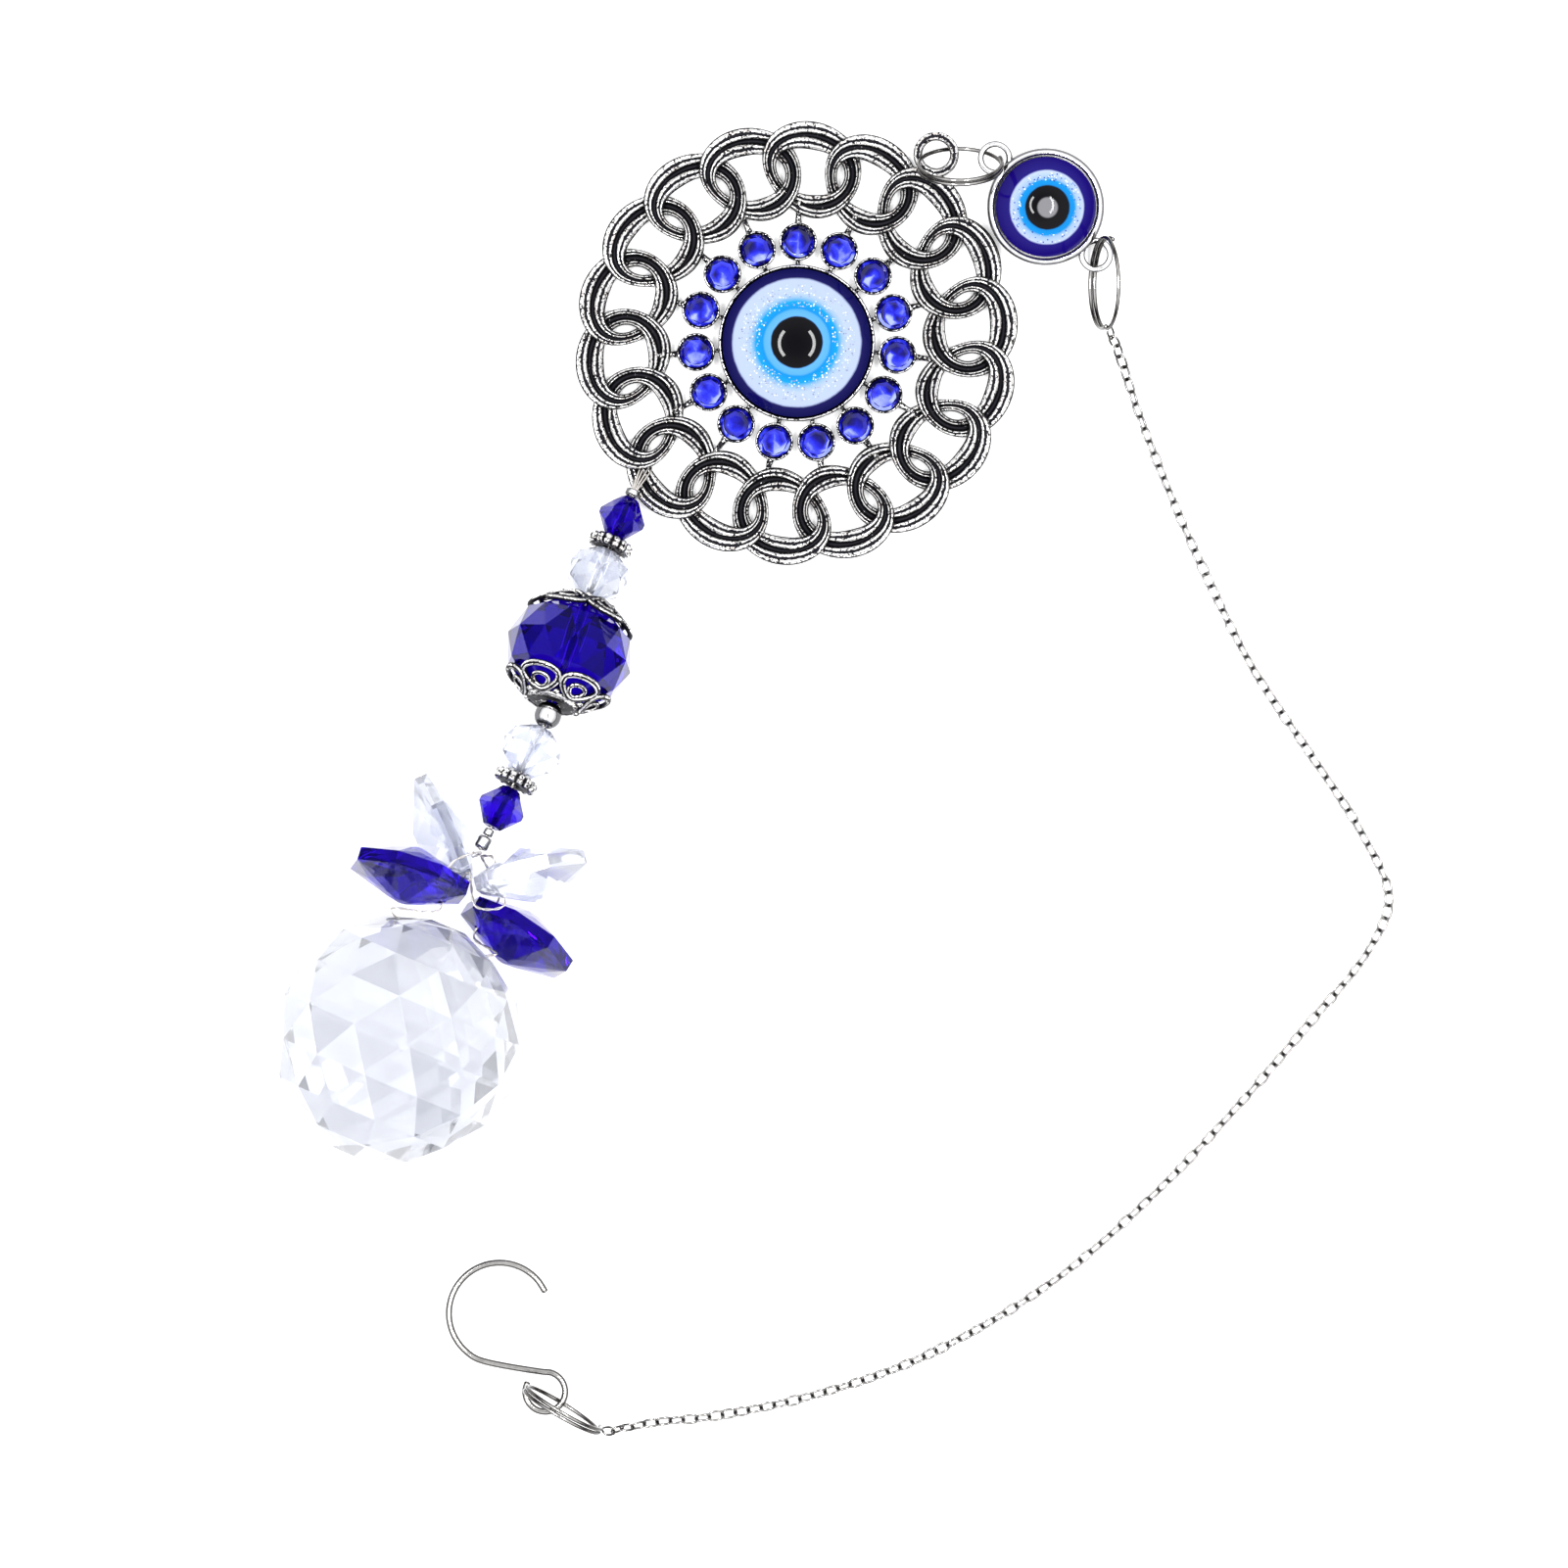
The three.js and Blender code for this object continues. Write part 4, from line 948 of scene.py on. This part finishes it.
def make_caps():
    """Filigree caps: a collar with petals round it, each an outline with a smaller loop inside."""
    for place, flip in (("upper", -1), ("lower", 1)):
        node = f"bead_cap_{place}"
        at = bead_frame(node) @ Matrix.Diagonal((1, flip, flip, 1))
        build = Build()
        collar = [
            (0.7, 6.45), (1.1, 6.4), (2.2, 6.4), (3.1, 6.35), (3.3, 6.55), (3.0, 6.8), (2.0, 6.85), (0.9, 6.8),
        ]
        build.lathe(np.array(collar) * MM, 48, at, [0.6, 1.0, 1.0, 0.8, 0.2, 0.0, 0.5, 0.3])
        for k in range(6):
            middle = TAU * k / 6
            for size, start, end, wire in ((1.0, 0.02, 1.0, 0.4), (0.5, 0.12, 0.62, 0.3)):
                loop = []
                for turn in np.linspace(0, TAU, 40, endpoint=False):
                    share = start + (end - start) * (0.5 - 0.5 * math.cos(turn))
                    radius, height = cap_surface(share)
                    width = 0.46 * size * math.sin(turn) * (1 + 0.35 * (share - 0.5))
                    angle = middle + width
                    loop.append((radius * math.cos(angle), radius * math.sin(angle), height))
                line = placed(points(loop) * MM, at)
                shape = circle(wire * MM, 24) * (1.0, 0.8)
                depth = [1.2 if abs(x) < 0.24 or abs(x) > 0.9 or y < 0 else 0.0 for x, y in circle(1, 24)]
                centre = np.array(JOINTS[node + "_spin"]["pos_m"])
                build.sweep(line, shape, ups=unit(line - centre), closed=True, groove_and_facet_shade=depth)
            radius, height = cap_surface(0.06)
            grain = Vector((radius * math.cos(middle + 0.52), radius * math.sin(middle + 0.52), height)) * MM
            build.ball(0.42 * MM, 8, 12, 0.9, at @ Matrix.Translation(grain), 0.1)
        build.make(f"filigree_{place}", ANTIQUE, node, [node])


def make_small_metal():
    build = Build()
    rows = [(0.55, -1.35), (0.9, -1.42), (1.3, -1.1), (1.58, -0.6), (1.65, 0.0)]
    rows += [(radius, -height) for radius, height in rows[-2::-1]]
    build.lathe(np.array(rows) * MM, 40, bead_frame("round_bead"))
    build.make("round_bead_polished", SILVER, "round_bead", ["round_bead"])
    for name, node, distance, inner, outer, half in (
        ("crimp_top_tube", "crimp_upper", 1.84, 0.6, 0.92, 0.34),
        ("crimp_round", "crimp_bead", 47.75, 0.32, 0.62, 0.4),
        ("crimp_end_tube", "crimp_tube", 49.15, 0.5, 0.85, 0.72),
    ):
        build = Build()
        rows = [(inner, -half), (outer * 0.9, -half), (outer, -0.6 * half), (outer * 0.95, 0)]
        rows += [(radius, -height) for radius, height in rows[-2::-1]]
        build.lathe(np.array(rows) * MM, 32, string_frame(distance))
        body = "string_eye" if node == "crimp_upper" else "string"
        build.make(name, SILVER, body, [node])


def twisted(build, line, strands, reach, radius, turns):
    """Thin strands laid round a line."""
    ups = carried(line)
    sides = np.cross(tangents(line), ups)
    share = np.linspace(0, 1, len(line))
    for k in range(strands):
        turn = TAU * (k / strands + turns * share)
        build.tube(line + reach * (ups * np.cos(turn)[:, None] + sides * np.sin(turn)[:, None]), radius, 8)


def make_string_wires():
    """The strands that fan out round the anchor bar, and the twisted wire through the beads."""
    pivot = Vector(JOINTS["string_front_back"]["pos_m"])
    bar = Vector(JOINTS["string_front_back"]["axis"]).normalized()
    knot = on_string(1.9)
    out = knot - pivot
    reach = out.length / MM
    out.normalize()
    lift = out.cross(bar).normalized()
    lift = -lift if lift.z < 0 else lift
    build = Build()
    for spread in (-0.78, -0.3, 0.28, 0.76):
        route = []
        for along, up, share in (
            (reach + 0.4, 0.1, 0.2), (reach - 0.8, 0.28, 0.4), (0.42, 0.62, 0.95), (-0.42, 0.5, 1),
            (-0.7, 0, 1), (-0.42, -0.5, 1), (0.42, -0.7, 0.95), (reach - 0.8, -0.28, 0.4),
            (reach + 0.4, -0.1, 0.2),
        ):
            route.append(pivot + (out * along + lift * up + bar * spread * share) * MM)
        build.tube(catmull(route, 60), 0.12 * MM, 8)
    build.make("anchor_strands", BEADING, "string_eye", ["wire_eye"])
    build = Build()
    line = points([tuple(on_string(d)) for d in np.linspace(2.65, 50.1, 240)])
    twisted(build, line, 3, 0.1 * MM, 0.095 * MM, 14)
    build.make("bead_wire", BEADING, "string", ["beading_wire"])


make_beads()
make_spacers()
make_caps()
make_small_metal()
make_string_wires()


# ---------- octagon crystals ----------
PETAL_HALF = 6.85  # to the middle of a side
PETAL_EDGE = 0.8  # half the edge's thickness
PETAL_HOLE_AT = 4.4
PETAL_FACES = {
    "petal_blue_left": COBALT, "petal_blue_right": COBALT,
    "petal_clear_upper": CLEAR, "petal_clear_right": CLEAR,
}


def petal_frame(node):
    """The crystal's middle, its long direction away from the hole, and its face direction."""
    joint = JOINTS[node + "_swing"]
    hole = Vector(joint["pos_m"])
    normal = Vector(joint["axis"]).normalized()
    low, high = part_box(node)
    long = (low + high) / 2 - hole
    long = (long - normal * long.dot(normal)).normalized()
    return hole, long, normal, frame_at(hole + long * PETAL_HOLE_AT * MM, normal, long)


def make_petals():
    for node, look in PETAL_FACES.items():
        hole, long, normal, at = petal_frame(node)
        build = Build()
        corner = PETAL_HALF / math.cos(math.pi / 8)
        rows = [(corner, z * PETAL_EDGE, 8, 0.5) for z in (-1, 1)]
        rows += [(4.55, z * 1.98, 8, 0.0) for z in (-1, 1)]
        rows += [(2.0, z * 3.05, 8, 0.5) for z in (-1, 1)]
        rows += [(0.9, z * 3.42, 8, 0.5) for z in (-1, 1)]
        build.hull(ring_rows(rows), at)
        piece = build.make(f"{node}_cut", look, node, [node], smooth=False)
        drill(piece, [hole - normal * 5 * MM, hole + normal * 5 * MM], 0.68 * MM, 20)


make_petals()


# ---------- crystal ball ----------
BALL_RADIUS = 15.0
BALL_CENTRE = Vector((-47.67, -83.47, 15.0)) * MM
BALL_ROWS = (
    (9, 5), (30, 7), (50, 13), (70, 13), (90, 13), (110, 13), (130, 13), (150, 7), (171, 5),
)


def make_ball():
    joint = JOINTS["ball_swing"]
    hole = Vector(joint["pos_m"])
    hole_along = Vector(joint["axis"]).normalized()
    pole = (SPLIT - BALL_CENTRE).normalized()
    side = (SIDE - pole * SIDE.dot(pole)).normalized()
    at = frame_at(BALL_CENTRE, pole, side)
    rows = []
    for row, (from_pole, count) in enumerate(BALL_ROWS):
        turn = math.radians(from_pole)
        rows.append((BALL_RADIUS * math.sin(turn), BALL_RADIUS * math.cos(turn), count, 0.5 * (row % 2)))
    build = Build()
    build.hull(ring_rows(rows), at)
    piece = build.make("ball_cut", BALL_GLASS, "crystal_ball", ["crystal_ball"], smooth=False)
    drill(piece, [hole - hole_along * 9 * MM, hole + hole_along * 9 * MM], 0.8 * MM, 20)


make_ball()


# ---------- wires through the crystals ----------
BALL_HOLE_DEPTH = 13.4  # the ball's middle to the hole's line


def make_loops():
    """The string's two ends: one through the blue petals and the ball, one through the clear petals."""
    pole = (SPLIT - BALL_CENTRE).normalized()
    across = SIDE.cross(pole).normalized()
    joint = JOINTS["ball_swing"]
    ball_hole, hole_along = Vector(joint["pos_m"]), Vector(joint["axis"]).normalized()
    half = math.sqrt(BALL_RADIUS**2 - BALL_HOLE_DEPTH**2)

    def split_point(side, up):
        return SPLIT + (SIDE * side + across * up) * 0.5 * MM

    def mouth(node, side):
        hole, _, normal, _ = petal_frame(node)
        return hole + normal * side * 3.0 * MM

    def ball_mouth(side, out, up):
        return ball_hole + hole_along * side * (half + out) * MM + pole * up * MM

    def turn_back(node):
        hole, long, normal, _ = petal_frame(node)
        return hole + long * (PETAL_HOLE_AT - PETAL_HALF - 0.8) * MM + normal * 2.3 * MM

    left, right = "petal_blue_left", "petal_blue_right"
    blue = [
        split_point(-1, 1), mouth(left, -1), petal_frame(left)[0], mouth(left, 1), ball_mouth(-1, 0.5, 0.7),
        ball_mouth(-1, -0.6, 0), ball_mouth(1, -0.6, 0), ball_mouth(1, 0.5, 0.7),
        mouth(right, 1), petal_frame(right)[0], mouth(right, -1), split_point(1, -1),
    ]
    upper, right = "petal_clear_upper", "petal_clear_right"
    clear = [
        split_point(-1, -1), mouth(upper, -1), petal_frame(upper)[0], mouth(upper, 1), turn_back(upper),
        SPLIT + (ALONG * 2.5 + across * 0.3) * MM, turn_back(right), mouth(right, 1), petal_frame(right)[0],
        mouth(right, -1), split_point(1, 1),
    ]
    for name, route in (("blue", blue), ("clear", clear)):
        build = Build()
        twisted(build, catmull(route, 360), 2, 0.085 * MM, 0.09 * MM, 16)
        build.make(f"loop_{name}_strands", BEADING, "string", [f"wire_loop_{name}"])


make_loops()


# ---------- floor and light ----------
def make_floor():
    mesh = bpy.data.meshes.new("floor")
    reach = 4.0
    mesh.from_pydata(
        [(-reach, -reach, 0), (reach, -reach, 0), (reach, reach, 0), (-reach, reach, 0)], [], [(0, 1, 2, 3)],
    )
    mesh.materials.append(floor_paint())
    floor = bpy.data.objects.new("floor", mesh)
    bpy.context.scene.collection.objects.link(floor)


def make_world():
    """A white light tent, darker towards the ground and a little darker straight overhead."""
    world = bpy.data.worlds.new("tent")
    bpy.context.scene.world = world
    world.use_nodes = True
    tree = world.node_tree
    back = tree.nodes["Background"]
    place = tree.nodes.new("ShaderNodeTexCoord")
    split = tree.nodes.new("ShaderNodeSeparateXYZ")
    ramp = tree.nodes.new("ShaderNodeValToRGB")
    tree.links.new(place.outputs["Generated"], split.inputs[0])
    tree.links.new(split.outputs[2], ramp.inputs[0])
    tree.links.new(ramp.outputs[0], back.inputs["Color"])
    stops = ((0.0, 0.15), (0.12, 0.25), (0.3, 0.8), (0.5, 1.15), (0.86, 1.2), (0.95, 0.8), (1.0, 0.45))
    elements = ramp.color_ramp.elements
    while len(elements) < len(stops):
        elements.new(0.5)
    for element, (at, level) in zip(elements, stops):
        element.position = at
        element.color = (level, level, level * 1.01, 1)
    back.inputs["Strength"].default_value = 1.4


BANK_RADIUS = 0.31
BANK_HEIGHT = 0.95


def softbox(name, turn):
    """A small panel of the two curved banks that stand either side of the eye."""
    data = bpy.data.lights.new(name, "AREA")
    data.shape = "RECTANGLE"
    data.size, data.size_y = 0.055, 0.1
    data.energy = 1.0
    light = bpy.data.objects.new(name, data)
    light.location = (BANK_RADIUS * math.cos(turn), BANK_RADIUS * math.sin(turn), BANK_HEIGHT)
    light.rotation_euler = (0, math.atan2(BANK_RADIUS, BANK_HEIGHT), turn)
    light.visible_camera = False
    bpy.context.scene.collection.objects.link(light)


make_floor()
make_world()
for bank, middle in (("right", 0), ("left", 180)):
    for step in range(-2, 3):
        softbox(f"softbox_{bank}_{step + 3}", math.radians(middle + 18 * step))

scene = bpy.context.scene
scene.view_settings.view_transform = "Standard"
scene.view_settings.look = "None"
